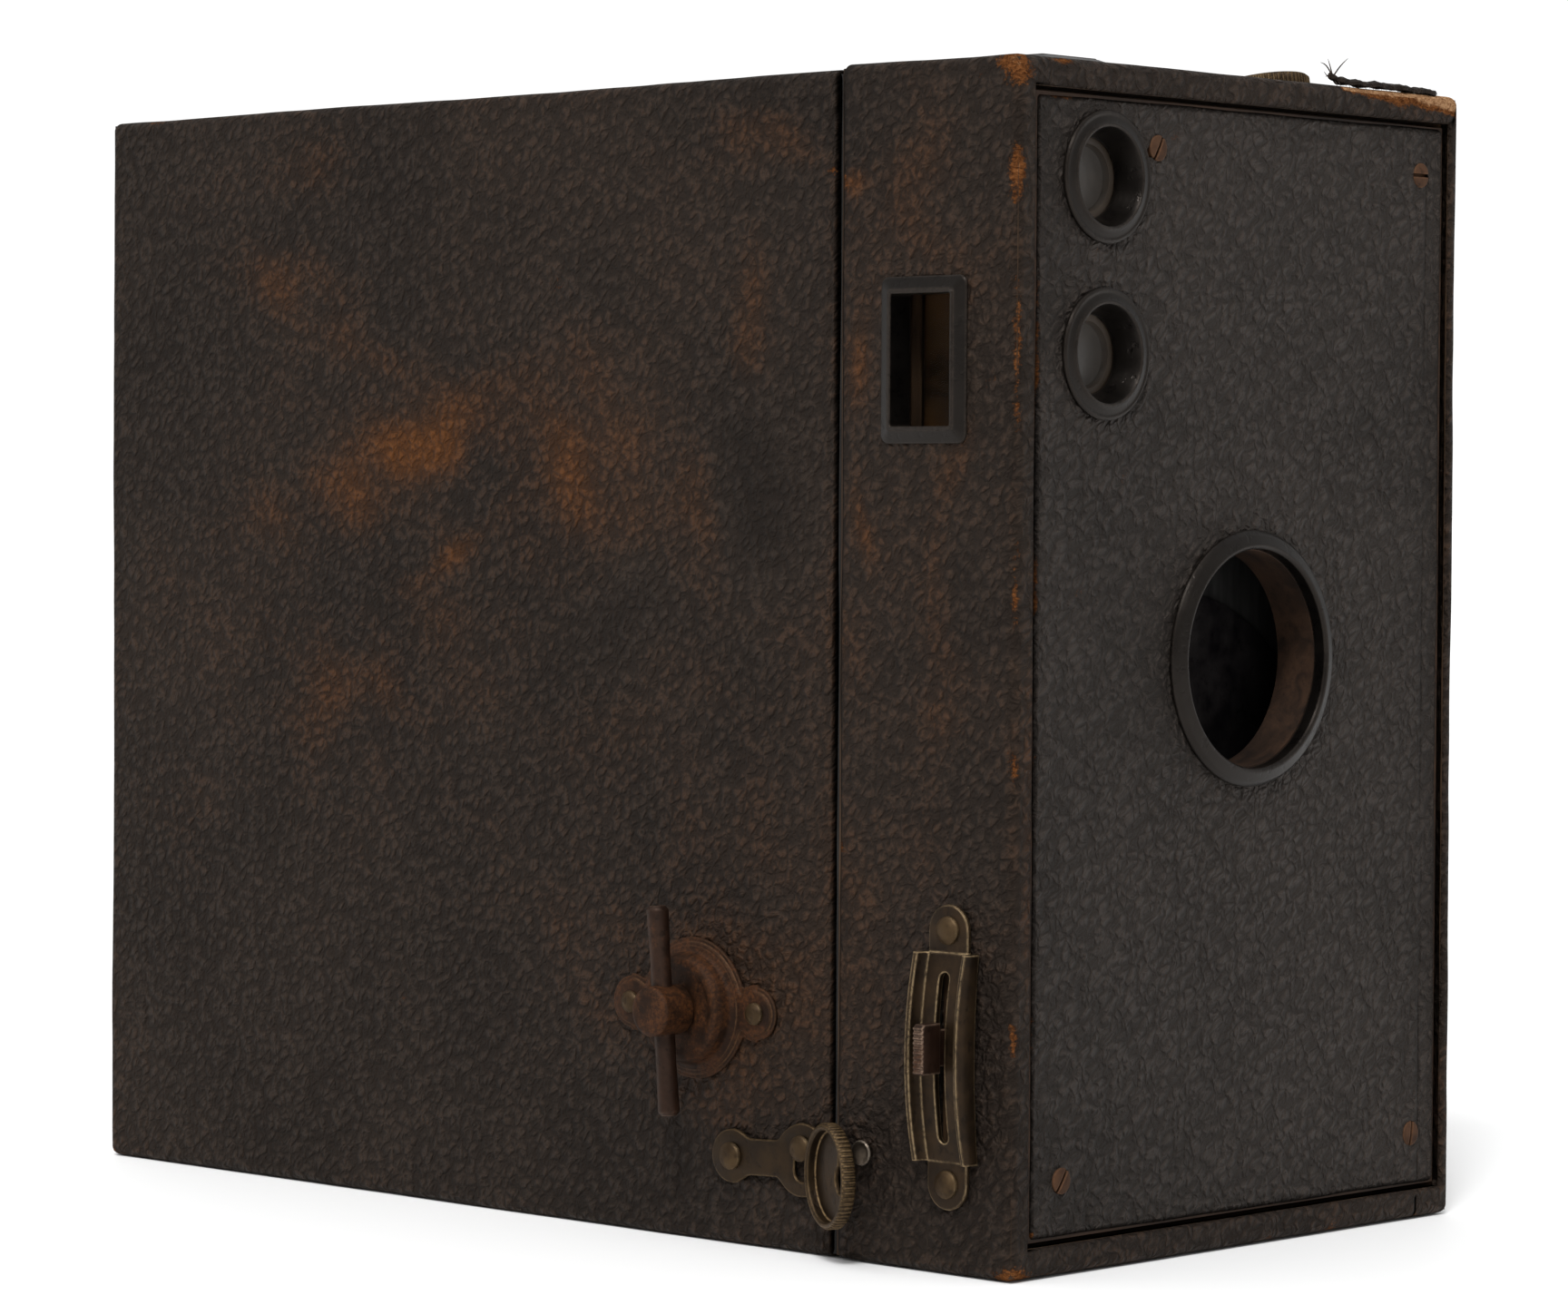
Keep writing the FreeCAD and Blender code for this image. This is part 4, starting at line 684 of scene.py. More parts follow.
def turn_in(bm, opening, steps):
    """Folds the edge of an opening in the front inwards; steps are (towards its middle, backwards) moves."""
    (x0, x1), (z0, z1) = opening
    near = 0.6 * MM
    edges = [
        edge
        for edge in bm.edges
        if edge.is_boundary
        and all(abs(v.co.y - FRONT_LOW.y) < near for v in edge.verts)
        and all(x0 - near < v.co.x < x1 + near and z0 - near < v.co.z < z1 + near for v in edge.verts)
    ]
    for across, along in steps:
        made = bmesh.ops.extrude_edge_only(bm, edges=edges)["geom"]
        for vert in (item for item in made if isinstance(item, bmesh.types.BMVert)):
            for axis, level, sign in ((0, x0, 1), (0, x1, -1), (2, z0, 1), (2, z1, -1)):
                if abs(vert.co[axis] - level) < near:
                    vert.co[axis] += sign * across
            vert.co.y += along
        edges = [item for item in made if isinstance(item, bmesh.types.BMEdge) and item.is_boundary]
        x0, x1, z0, z1 = x0 + across, x1 - across, z0 + across, z1 - across


def in_hole(side, point, holes):
    """Whether a point on a side is in one of the round holes: each is (side, centre, radius)."""
    for hole_side, centre, radius in holes:
        apart = point - centre
        apart[side[0]] = 0
        if side == hole_side and apart.length < radius:
            return True
    return False


def round_off(bm, holes):
    """Pulls the ragged edge of each hole onto its circle."""
    for vert in [v for v in bm.verts if v.is_boundary]:
        for (axis, end), centre, radius in holes:
            apart = vert.co - centre
            depth = apart[axis]
            apart[axis] = 0
            if abs(depth) < 1.5 * MM and abs(apart.length - radius) < 1.3 * MM:
                place = centre + apart.normalized() * radius
                place[axis] = vert.co[axis]
                vert.co = place


# ---------------------------------------------------------------- wear

# On the key's side, in millimetres and degrees: y, z, half length, half width, slant, strength.
SIDE_SCUFFS = (
    (15.6, 93.1, 9.5, 3.2, 26, 0.86),
    (26.7, 87.6, 21, 5.0, 22, 0.62),
    (13.2, 79.0, 8.5, 1.7, 30, 0.60),
    (-9.2, 89.4, 9.5, 9.5, 35, 0.50),
    (45.1, 112.3, 20, 6.5, -35, 0.42),
    (34.5, 127.0, 10, 4.5, 0, 0.40),
    (-37.2, 126.1, 8.5, 4.5, 0, 0.62),
    (-37.2, 105.4, 3.0, 8.0, 0, 0.50),
    (23.6, 101.9, 4.0, 2.2, 0, 0.40),
    (62.8, 43.5, 6.0, 7.0, 0, 0.36),
    (32.9, 62.0, 17, 9.0, 20, 0.34),
    (-30.1, 83.7, 4.5, 6.5, 0, 0.36),
    (12.4, 79.0, 62, 44, 0, 0.26),
    (-28.0, 35.0, 30, 30, 0, 0.18),
    (-28.7, 25.5, 14, 12, 0, 0.32),
    (-62.0, 116.7, 9.5, 11, 0, 0.36),
    (-53.3, 120.6, 2.2, 1.6, 0, 0.9),
    (-53.0, 99.8, 2.0, 6.0, 0, 0.62),
    (-67.5, 87.5, 1.8, 5.5, 0, 0.38),
    (-66.1, 66.0, 2.4, 15, 0, 0.30),
    (-53.1, 81.6, 1.6, 4.5, 0, 0.45),
    (-60.0, 60.0, 15, 60, 0, 0.10),
)
DARK_PATCHES = ((-39.0, 83.8, 6, 6.5, 0, -0.55), (-16.1, 71.0, 7, 5.5, 0, -0.50), (-36.5, 92, 5, 4, 0, -0.3))
# Where the covering is worn through to its fibre, in millimetres: x, y, z and the reach along each.
BARE_SPOTS = (
    (-39.6, -76.7, 132.4, 2.5, 2.9, 3.0),
    (-39.8, -76.8, 120.2, 1.3, 1.5, 3.4),
    (-39.5, -76.8, 0.4, 3.2, 2.2, 1.4),
    (-36.1, -76.4, 4.5, 0.6, 0.8, 1.0),
    (-35.7, -76.4, 128.9, 1.4, 0.8, 0.5),
    (-40.0, -51.6, 120.4, 0.8, 0.9, 0.6),
    (-40.0, -51.4, 46.4, 0.7, 0.9, 0.7),
    (-39.6, -49.4, 121.6, 0.8, 1.0, 0.5),
    (33.0, -77.0, 0.2, 1.6, 0.6, 0.4),
    (39.8, 76.8, 131.8, 1.6, 1.7, 1.9),
    (-39.4, 76.8, 132.2, 0.8, 1.0, 0.9),
    (39.4, 76.8, 0.6, 1.8, 1.4, 1.2),
    (-39.4, 76.8, 0.6, 1.0, 1.0, 0.8),
    (39.8, -76.6, 0.8, 0.9, 1.0, 1.2),
    (39.6, -49.6, 132.2, 0.6, 1.6, 0.6),
    (39.6, 20.0, 132.4, 0.5, 3.0, 0.5),
    (0.0, 76.9, 132.4, 4.0, 0.5, 0.5),
    (39.4, 76.9, 60.0, 0.5, 0.5, 3.0),
)
SCUFF_GAIN = 0.85


def oval(point, y, z, long, wide, slant, strength):
    """One soft smear on the key's side; the slant is from the lens end, upwards."""
    ahead, up = y * MM - point.y, point.z - z * MM
    cosine, sine = math.cos(math.radians(slant)), math.sin(math.radians(slant))
    along = (ahead * cosine + up * sine) / (long * MM)
    aside = (up * cosine - ahead * sine) / (wide * MM)
    return strength * math.exp(-(along * along + aside * aside))


def hump(value, centre, width):
    """One at the centre, falling away over the width."""
    return math.exp(-(((value - centre) / width) ** 2))


def edge_gap(point, low, high):
    """How far a point on a box is from the box's nearest edge."""
    gaps = sorted(min(abs(point[i] - low[i]), abs(high[i] - point[i])) for i in range(3))
    return gaps[1]


def scuff_at(point, low, high):
    shifted = point + noise.noise_vector(point * 70) * 3.5 * MM
    slanted = Vector((point.x, point.y * 0.5 + point.z * 0.9, point.z - point.y))
    streak = 0.75 + 0.6 * noise.noise(slanted * 120)
    rubbed = 0.12 * math.exp(-edge_gap(point, low, high) / (2.0 * MM)) * (0.7 + noise.noise(point * 90))
    if point.x < low.x + 1.5 * MM:
        smears = sum(oval(shifted, *scuff) for scuff in SIDE_SCUFFS) * streak * SCUFF_GAIN
        return rubbed + smears + sum(oval(shifted, *patch) for patch in DARK_PATCHES)
    broad = noise.noise(point * 30 + Vector((3, 1, 8)))
    return rubbed + max(0.0, broad - 0.1) * 0.7 * streak


def torn_at(point):
    """The torn upper edge beside the lens, widening towards the corner: above 0.5 the covering is gone."""
    start, corner = 17 * MM, FRONT_HIGH.x
    if point.x < start or point.z < FRONT_HIGH.z - 6 * MM or point.y > FRONT_LOW.y + 7 * MM:
        return 0.0
    share = (point.x - start) / (corner - start)
    ragged = noise.noise(point * 420) * 0.8 * MM + noise.noise(point * 130) * 0.7 * MM
    wide = 0.4 * MM + share * 2.6 * MM
    if point.z > FRONT_HIGH.z - 0.6 * MM:
        down = point.y - FRONT_LOW.y - 1.0 * MM - share * 1.2 * MM
    else:
        down = FRONT_HIGH.z - point.z + 0.9 * (point.y - FRONT_LOW.y)
    return 0.5 + (wide + ragged - down) / (1.2 * MM)


def bare_at(point, low, high):
    ragged = 0.30 * noise.noise(point * 700) + 0.35 * noise.noise(point * 260)
    bare = 0.0
    for x, y, z, reach_x, reach_y, reach_z in BARE_SPOTS:
        apart = point - Vector((x, y, z)) * MM
        span = Vector((apart.x / reach_x, apart.y / reach_y, apart.z / reach_z)).length / MM
        bare = max(bare, 1.15 - span * 0.75)
    wear = noise.noise(Vector((point.x * 30, point.y * 30, point.z * 95)) + Vector((9, 4, 2)))
    rubbed = 0.9 * wear - 0.05
    if point.x < -0.03 and point.y < low.y + 2 * MM and low.y < -0.07:
        rubbed = 1.5 * wear + 0.16 + 0.3 * (point.z > 0.085)
    edge = hump(edge_gap(point, low, high), 0, 0.9 * MM) * rubbed
    if abs(point.y - REAR_LOW.y) < 1.5 * MM:
        edge = 0.0
    return max(bare, edge) + ragged


def gap_shade_at(point):
    """Painted shade: one inside the joint between the box's two parts and in the groove around the front
    panel.
    """
    rim = 0.8 * MM
    in_x = PANEL_LOW.x - rim < point.x < PANEL_HIGH.x + 0.1 * MM
    in_z = PANEL_LOW.z - rim < point.z < PANEL_HIGH.z + rim
    if in_x and in_z and point.y < FRONT_LOW.y + 5 * MM:
        # A painted shadow of the panel's raised border, fading out from the panel's left edge.
        shaded = 0.75 * max(0.0, 1 - (point.x - PANEL_LOW.x) / (1.5 * MM))
        return min(1.0, max(shaded, (point.y - PANEL_LOW.y) / (0.6 * MM)))
    return max(hump(point.y, end, 0.75 * MM) for end in (REAR_LOW.y, FRONT_HIGH.y))


def weather(piece, low, high, crease, torn):
    """Writes the wear of every point of a covering, with its dark joints and the painted shade in its gaps,
    into the attributes that its material reads.
    """
    mesh = piece.data
    names = ("scuff", "bare", "crease")
    scuff, bare, crease_and_shade = (mesh.attributes.new(name, "FLOAT", "POINT").data for name in names)
    for i, vertex in enumerate(mesh.vertices):
        point = vertex.co
        scuff[i].value = scuff_at(point, low, high)
        bare[i].value = max(bare_at(point, low, high), torn_at(point) if torn else 0.0)
        # The crease attribute also carries the painted shade in the gaps.
        crease_and_shade[i].value = max(gap_shade_at(point), crease(point))


def covering(name, bm, thickness, box, body, material, crease, torn=False):
    """Gives a covering its thickness, its wear and the painted shade in its gaps, and puts it in the place
    of its CAD node.
    """
    piece = piece_from(f"{name}_leather", bm, 60)
    shell = piece.modifiers.new("thickness", "SOLIDIFY")
    shell.thickness = thickness
    shell.offset = -1
    piece = baked(piece, 60)
    weather(piece, *box, crease, torn)
    show(piece, body, material, f"{name}_covering")


# ---------------------------------------------------------------- the coverings

EDGE = 1.2 * MM
SEAM_EDGE = 0.8 * MM
FRONT_EDGE = 1.45 * MM
LEATHER = 0.4 * MM
BACK_RIM = 2.6 * MM  # how much covering is left around the open side of a part
BUSH_HOLE = 7.0 * MM


def inset(low, high, rim):
    """The x and z ranges of a box's outline, drawn in by rim."""
    return (low.x + rim, high.x - rim), (low.z + rim, high.z - rim)


def within(point, opening):
    (x0, x1), (z0, z1) = opening
    return x0 < point.x < x1 and z0 < point.z < z1


def rear_covering():
    low, high = REAR_LOW, REAR_HIGH
    holes = [
        ((0, 0), Vector((low.x, KEY.y, KEY.z)), 3.2 * MM),
        ((1, 1), Vector((RED.x, high.y, RED.z)), 7.2 * MM),
        ((2, 0), Vector((BASE_BUSH.x, BASE_BUSH.y, low.z)), BUSH_HOLE),
        ((0, 1), Vector((high.x, SIDE_BUSH.y, SIDE_BUSH.z)), BUSH_HOLE),
    ]
    opening = inset(low, high, BACK_RIM)
    seam_y = 69.0 * MM

    def skip(side, point):
        return side == (1, 0) and within(point, opening) or in_hole(side, point, holes)

    def crease(point):
        """The lap of the covering near the back."""
        return 0.25 * hump(point.y, seam_y, 0.5 * MM) * (point.x < 0) * (point.z < 0.06)

    rounds = ((EDGE, EDGE), (SEAM_EDGE, EDGE), (EDGE, EDGE))
    beside_seam = (68.6 * MM, seam_y, 69.4 * MM)
    bm = covered_box(low, high, rounds, skip, (opening[0], beside_seam, opening[1]))
    round_off(bm, holes)
    covering("rear", bm, LEATHER, (low, high), "rear_box", SIDE_LEATHER, crease)


def slide_slots():
    """The slots for the tabs of both slides in the top, as (x range, y range)."""
    tab, slack = 3.65 * MM, 0.15 * MM
    (stop_low, stop_high), (time_low, time_high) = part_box("stop_slide"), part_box("time_slide")
    time_x = (time_low.x + time_high.x) / 2
    return [
        ((LENS.x - tab, LENS.x + tab), (stop_low.y - slack, stop_high.y + slack)),
        ((time_x - tab, time_x + tab), (time_low.y - slack, time_high.y + slack)),
    ]


def front_covering():
    low, high = FRONT_LOW, FRONT_HIGH
    fold = 0.5 * MM
    mouth = inset(PANEL_LOW, PANEL_HIGH, -0.5 * MM)
    mouth = tuple((a - fold, b + fold) for a, b in mouth)
    back = inset(low, high, BACK_RIM)
    side_window, top_window = middle("side_window_frame"), middle("top_window_frame")
    window_wide, window_long = 5.3 * MM, 8.2 * MM
    slots = slide_slots()
    seam_x = 33.0 * MM

    def skip(side, point):
        if side[0] == 1:
            return within(point, mouth if side == (1, 0) else back)
        if side == (0, 0):
            from_window, from_plate = point - side_window, point - PLATE
            in_window = abs(from_window.y) < window_wide and abs(from_window.z) < window_long
            return in_window or abs(from_plate.y) < 1.2 * MM and abs(from_plate.z) < 9.6 * MM
        if side == (2, 1):
            apart = point - top_window
            in_window = abs(apart.x) < window_wide and abs(apart.y) < window_long
            in_slot = any(x[0] < point.x < x[1] and y[0] < point.y < y[1] for x, y in slots)
            return in_window or in_slot
        return False

    def crease(point):
        """The covering's cut ends: a mitre at the upper right corner and a butt seam under the panel."""
        if point.y > low.y + 2 * MM:
            return 0.0
        start, end = Vector((mouth[0][1], mouth[1][1])), Vector((high.x, high.z))
        way = (end - start).normalized()
        apart = Vector((point.x, point.z)) - start
        mitre = hump(apart.cross(way), 0, 0.22 * MM) if apart.dot(way) > -0.3 * MM else 0.0
        return mitre + hump(point.x, seam_x, 0.22 * MM) * (point.z < mouth[1][0])

    def band(start, end):
        count = round((end - start) / (0.3 * MM))
        return tuple(start + (end - start) * k / count for k in range(count))

    beside_seam = (32.7 * MM, seam_x, 33.3 * MM)
    xs = (*mouth[0], *back[0], *band(mouth[0][1] + 0.3 * MM, high.x - EDGE), *beside_seam)
    xs += tuple(edge for x, y in slots for edge in x)
    ys = tuple(edge for x, y in slots for edge in y)
    zs = (*mouth[1], *back[1], *band(mouth[1][1] + 0.3 * MM, high.z - EDGE))
    rounds = ((EDGE, EDGE), (FRONT_EDGE, SEAM_EDGE), (EDGE, EDGE))
    bm = covered_box(low, high, rounds, skip, (xs, ys, zs))
    turns = [math.radians(angle) for angle in (0, 22.5, 45, 67.5, 90)]
    arc = [(fold * math.sin(turn), -fold * math.cos(turn)) for turn in turns]
    steps = [(there[0] - here[0], there[1] - here[1]) for here, there in zip(arc, arc[1:])]
    turn_in(bm, mouth, steps + [(0.0, 1.0 * MM)])
    covering("front", bm, LEATHER, (low, high), "front_section", SIDE_LEATHER, crease, True)


def panel_covering():
    low, high = PANEL_LOW, PANEL_HIGH + Vector((0, 0.6 * MM, 0))
    sizes = [(LENS, 13.3), *((spot, 6.6) for spot in FINDERS.values()), *((spot, 1.5) for spot in SCREWS)]
    holes = [((1, 0), Vector((spot.x, low.y, spot.z)), radius * MM) for spot, radius in sizes]
    line_x = 34.0 * MM

    def skip(side, point):
        return side == (1, 1) or in_hole(side, point, holes)

    def crease(point):
        """A line pressed into the covering along the panel's right side."""
        return 0.45 * hump(point.x + 0.3 * MM * noise.noise(point * 60), line_x, 0.25 * MM)

    rim = 0.9 * MM
    beside_line = (33.4 * MM, 33.7 * MM, line_x, 34.3 * MM, 34.6 * MM)
    bm = covered_box(low, high, ((rim, rim), (rim, 0), (rim, rim)), skip, (beside_line, (), ()))
    round_off(bm, holes)
    covering("panel", bm, 0.3 * MM, (low, high), "front_section", PANEL_LEATHER, crease)


def torn_strip():
    """The strip of covering that has lifted off the torn edge, with fraying threads along it."""
    start, end = Vector((16.5, -75.4, 133.0)) * MM, Vector((36.6, -75.6, 133.1)) * MM
    count = 44
    droop = 0.3 * MM
    sections = []
    for k in range(count + 1):
        share = k / count
        place = start.lerp(end, share)
        lift = (1.0 * math.exp(-share * 8) + 0.35 * math.sin(share * math.pi)) * MM
        place.z += lift + noise.noise(Vector((share * 11, 2, 5))) * 0.18 * MM
        place.y += noise.noise(Vector((share * 7, 8, 1))) * 0.3 * MM
        wide = (0.9 + 0.4 * noise.noise(Vector((share * 16, 1, 1)))) * MM * min(1.0, 6 * share + 0.25)
        wide *= min(1.0, 8 * (1 - share) + 0.3)
        thick = (0.26 + 0.12 * noise.noise(Vector((share * 23, 6, 2)))) * MM
        outline = ((-1, -droop), (1, -thick), (1, thick), (-0.2, thick * 1.6), (-1, -droop + 1.6 * thick))
        sections.append([place + Vector((0, wide * aside, up)) for aside, up in outline])
    strip = loft("torn_strip", sections)
    for name in ("scuff", "bare", "crease"):
        strip.data.attributes.new(name, "FLOAT", "POINT")
    show(strip, "front_section", SIDE_LEATHER)

    threads = []
    frays = 26
    for k in range(frays):
        share = (k + 0.5 + 0.4 * noise.noise(Vector((k * 1.7, 0, 0)))) / frays
        root = start.lerp(end, share) + Vector((0, -0.5, 0.35)) * MM
        droop = 0.55 * noise.noise(Vector((k * 0.9, 2, 7))) - 0.3
        lean = Vector((noise.noise(Vector((k, 5, 1))), -0.5, droop))
        long = (0.7 + 0.5 * noise.noise(Vector((k, 3, 3)))) * MM
        points = [root + lean * long * t + Vector((0, 0, -0.4 * MM * t * t)) for t in (0, 0.35, 0.7, 1)]
        threads.append(tube(f"thread_{k}", points, 0.05 * MM, (1, 0.9, 0.7, 0.3), 1))
    curls = ((-2.6, 1.5, 0.7), (-1.9, 0.5, -0.5), (-1.2, 2.0, 0.2), (2.6, 2.3, 0.3), (-1.6, -0.1, 0.4))
    root = start + Vector((0.6, 0, 0.9)) * MM
    for k, (along, rise, bow) in enumerate(curls):
        points = []
        for i in range(7):
            t = i / 6
            up = rise * t + bow * math.sin(t * math.pi) * 0.6
            points.append(root + Vector((along * t, -0.2 * t, up)) * MM)
        threads.append(tube(f"curl_{k}", points, 0.09 * MM, (1, 1, 0.95, 0.85, 0.7, 0.5, 0.25), 1))
    show(joined("torn_threads", threads), "front_section", STRAP_HIDE)


# ---------------------------------------------------------------- fittings: outlines are in millimetres

def rivet(name, radius, base, rise, shank):
    """A domed head on the plane z = base, flattened by hammering, with its shank below."""
    return lathe(name, [
        (0, -2), (shank, -2), (shank, base), (radius, base, 0.08), (radius * 0.97, base + rise * 0.45, 0.25),
        (radius * 0.55, base + rise * 0.95, 0.8), (0, base + rise),
    ], 40)


CORNERS = {"rear_box": (REAR_LOW.x, REAR_HIGH.z), "front_section": (FRONT_LOW.x, FRONT_HIGH.z)}


def seat(body, facing, low, high):
    """The matrix of the place on the body's left side or top where the fastener with that box stands."""
    left_x, top_z = CORNERS[body]
    centre = (low + high) / 2
    centre[0 if facing == "left" else 2] = left_x if facing == "left" else top_z
    return stand(facing, centre)


def rivets(name, body, node, spots, base, rise, shank=None):
    """One rivet for each of the spots, (facing, low, high) each."""
    made = []
    for k, (facing, low, high) in enumerate(spots):
        radius = (high - low).y / 2 / MM
        one = rivet(f"{name}_{k}", radius, base, rise, shank or min(1.0, radius * 0.6))
        made.append(moved(one, seat(body, facing, low, high)))
    show(joined(name, made), body, RIVET_METAL, node)


def spots(node, facing):
    return [(facing, low, high) for low, high in solids(node)]


def front_fittings():
    def place(spot):
        return "front", (spot.x, PANEL_LOW.y, spot.z)

    bezel = lathe("bezel", [
        (12.45, -0.6), (13.05, -0.6), (13.05, -0.1), (14.6, -0.1), (14.6, 0.3, 0.15), (14.1, 0.8, 0.5),
        (13.5, 1.0, 0.4), (12.95, 1.2, 0.15), (12.75, 1.2, 0.1), (12.45, 0.9, 0.1),
    ], 160)
    fit(bezel, *place(LENS), "front_section", LACQUER, "lens_bezel")
    for name, spot in FINDERS.items():
        ring = lathe(f"{name}_ring", [
            (4.45, -2.6), (6.4, -2.6), (6.4, -0.1), (7.3, -0.1), (7.3, 0.28, 0.15), (7.0, 0.48, 0.15),
            (6.72, 0.36, 0.1), (5.95, 0.52, 0.2), (5.72, 0.78, 0.1), (5.5, 0.7, 0.1), (5.3, 0.2, 0.4),
            (4.85, -1.0, 0.8), (4.45, -2.2, 0.4),
        ], 128)
        fit(ring, *place(spot), "front_section", LACQUER, f"{name}_finder_ring")
        lens = lathe(f"{name}_glass", [
            (0, -4.2), (5.2, -4.2, 0.1), (5.2, -2.9, 0.1), (4.4, -2.75), (3.75, -2.8), (3.5, -3.5),
            (2.0, -3.35), (0, -3.3),
        ], 64)
        # The middle of the finder lens gets the painted reflection of the bright surroundings.
        painted_reflection = lens.data.attributes.new("middle", "FLOAT", "POINT")
        for vertex in lens.data.vertices:
            painted_reflection.data[vertex.index].value = float(vertex.co.xy.length < 3.6 * MM and vertex.co.z > -4 * MM)
        fit(lens, *place(spot), "front_section", FINDER_GLASS, f"{name}_finder_lens")

    screws = []
    for k, (spot, turn) in enumerate(zip(SCREWS, (55, 60, 80, 0))):
        head = lathe(f"screw_{k}", [
            (0, -6.9), (0.8, -6.9), (0.8, -0.6), (1.45, -0.6), (1.45, 0.05, 0.06), (0.9, 0.12, 1),
            (0, 0.14),
        ], 40)
        bar = loft("slot", [
            [Vector((x, y, z)) * MM for y, z in box_outline(-0.2, 0.2, -0.55, 1)] for x in (-3, 3)
        ])
        screws.append(moved(combine(head, [bar], "DIFFERENCE"), stand(*place(spot), turn)))
    show(joined("slotted_screws", screws), "front_section", SCREW_METAL, "panel_screws")


def window_frame(name, facing, a, b):
    """A bevelled metal frame about an a by b millimetre opening, with a sleeve down to its glass."""
    profile = [(0, -2.6), (0.6, -2.6), (0.6, -0.15), (1.9, -0.15), (1.92, 0.05), (1.8, 0.16), (1.72, 0.18),
               (0.52, 0.66), (0.44, 0.62), (0.36, 0.70), (0.28, 0.79), (0.08, 0.79), (0.02, 0.72)]
    sections = []
    for grow, height in profile:
        x, y, rounding = a / 2 + grow, b / 2 + grow, 0.2 + grow * 0.45
        loop = eased([(*corner, rounding) for corner in box_outline(-x, x, -y, y)])
        sections.append([Vector((*point, height)) * MM for point in loop])
    bm = bmesh.new()
    skin(bm, sections, True)
    node = f"{name}_window_frame"
    at = middle(node)
    at[0 if facing == "left" else 2] = FRONT_LOW.x if facing == "left" else FRONT_HIGH.z
    fit(piece_from(f"{name}_window_bezel", bm, 25), facing, at, "front_section", LACQUER, node)
    keep(PANE, f"{name}_window_glass")


def lever_plate():
    """The arched channel, with its ends and slot, that guides the shutter lever."""
    half, width, sheet, count = 11.45, 4.0, 0.6, 40
    inner = width - sheet - 0.25
    sections = []
    for k in range(count + 1):
        v = -half + 2 * half * k / count
        bow = 1 - (v / half) ** 2
        floor, edge = 0.05 + 1.3 * bow, 2.1 + 1.4 * bow
        top = floor + sheet
        wave = 0.05 * noise.noise(Vector((v * 0.6, 0, 3)))
        outline = [
            (-width + 0.35, floor * 0.35), (-width, floor * 0.5),
            (-width - 0.12 + wave, (floor + edge) / 2), (-width + 0.06, edge - 0.22), (-width + 0.3, edge),
            (-inner - 0.12, edge - 0.12), (-inner, edge - 0.5), (-inner + 0.12, top + 0.5),
            (-inner + 0.5, top + 0.08), (0, top), (inner - 0.5, top + 0.08), (inner - 0.12, top + 0.5),
            (inner, edge - 0.5), (inner + 0.12, edge - 0.12), (width - 0.3, edge),
            (width - 0.06, edge - 0.22), (width + 0.12 + wave, (floor + edge) / 2),
            (width, floor * 0.5), (width - 0.35, floor * 0.35), (0, floor),
        ]
        sections.append([Vector((x, v, z)) * MM for x, z in outline])
    round_end = circle(2.85, 0, 13.9, 16, 0, 180)[1:-1]
    tongue = [(2.85, 10.6), (2.85, 13.9), *round_end, (-2.85, 13.9), (-2.85, 10.6)]
    ends = []
    for sign in (1, -1):
        ends.append(flat(f"plate_end{sign}", [[(x * sign, y * sign) for x, y in tongue]], 0.6, 0.16))
    slot = moved(flat("plate_slot", [slot_outline(18.7, 1.5)], 8, 0.05), Matrix.Translation((0, 0, -2 * MM)))
    channel = combine(loft("plate_channel", sections), ends, "UNION")
    channel = combine(channel, [slot], "DIFFERENCE")
    channel.name = "lever_guide"
    fit(channel, "left", (FRONT_LOW.x, PLATE.y, PLATE.z), "front_section", PLATE_METAL, "lever_plate")
    node = "lever_plate_rivets"
    rivets("lever_guide_rivets", "front_section", node, spots(node, "left"), 0.55, 0.85)


def shutter_lever():
    low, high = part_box("shutter_lever")
    pivot = Vector((-5.0 * MM, (low.y + high.y) / 2, PLATE.z))
    tip_x, tip_low, tip_high = low.x / MM + 5.0, 1.2 - 2.75, 1.2 + 2.75
    notches = 18
    pitch = (tip_high - tip_low - 0.7) / notches
    end = [(tip_x + 0.22 * (k % 2), tip_high - 0.45 - pitch * k) for k in range(notches + 1)]
    back, root = tip_x + 3.1, (tip_x + 0.3, tip_low)
    outline = [(back, tip_high), (tip_x + 0.5, tip_high), *end, root, (back, tip_low)]
    tip = moved(flat("lever_tip", [outline], 1.4, 0.12), Matrix.Translation((0, 0, -0.7 * MM)))
    outline = eased([
        (3.1, 0, 2.9), (0, -3.1), (-29, -0.9, 1), (-38, -0.8), (-38, 3.2), (-29, 3.3, 1), (0, 3.1),
    ])
    arm = flat("lever_arm", [outline, circle(1.27)], 0.8, 0.1)
    arm = moved(arm, Matrix.Translation((0, 0, -0.4 * MM)))
    fit(joined("serrated_lever", [tip, arm]), "front", pivot, "shutter_lever", KEY_METAL, "shutter_lever")


def waisted(ends, waist, soft, shift=0.0, stop=None, count=90):
    """The outline of a plate along x: round ends, (x, radius) each, joined by a waist of that half width.

    soft rounds the change between them, shift moves the far end aside, and stop cuts it off.
    """
    first, last = ends[0][0] - ends[0][1], stop or ends[-1][0] + ends[-1][1]
    upper, lower = [], []
    for k in range(count + 1):
        x = first + (last - first) * (0.5 - 0.5 * math.cos(math.pi * k / count))
        side = shift * min(1.0, max(0.0, x / ends[-1][0]))
        wide = max(math.sqrt(max(0.0, radius * radius - (x - place) ** 2)) for place, radius in ends)
        if ends[0][0] < x < ends[-1][0]:
            wide = (wide + waist + math.sqrt((wide - waist) ** 2 + soft * soft)) / 2
        upper.append((x, side + wide))
        lower.append((x, side - wide))
    return lower + upper[::-1][(0 if stop else 1):-1]


def keyhole(x, y, wide, narrow, reach):
    lean = math.degrees(math.asin(narrow / wide))
    return circle(wide, x, y, 30, 90 + lean, 360 - 2 * lean) + circle(narrow, x, y + reach, 10, 0, 180)


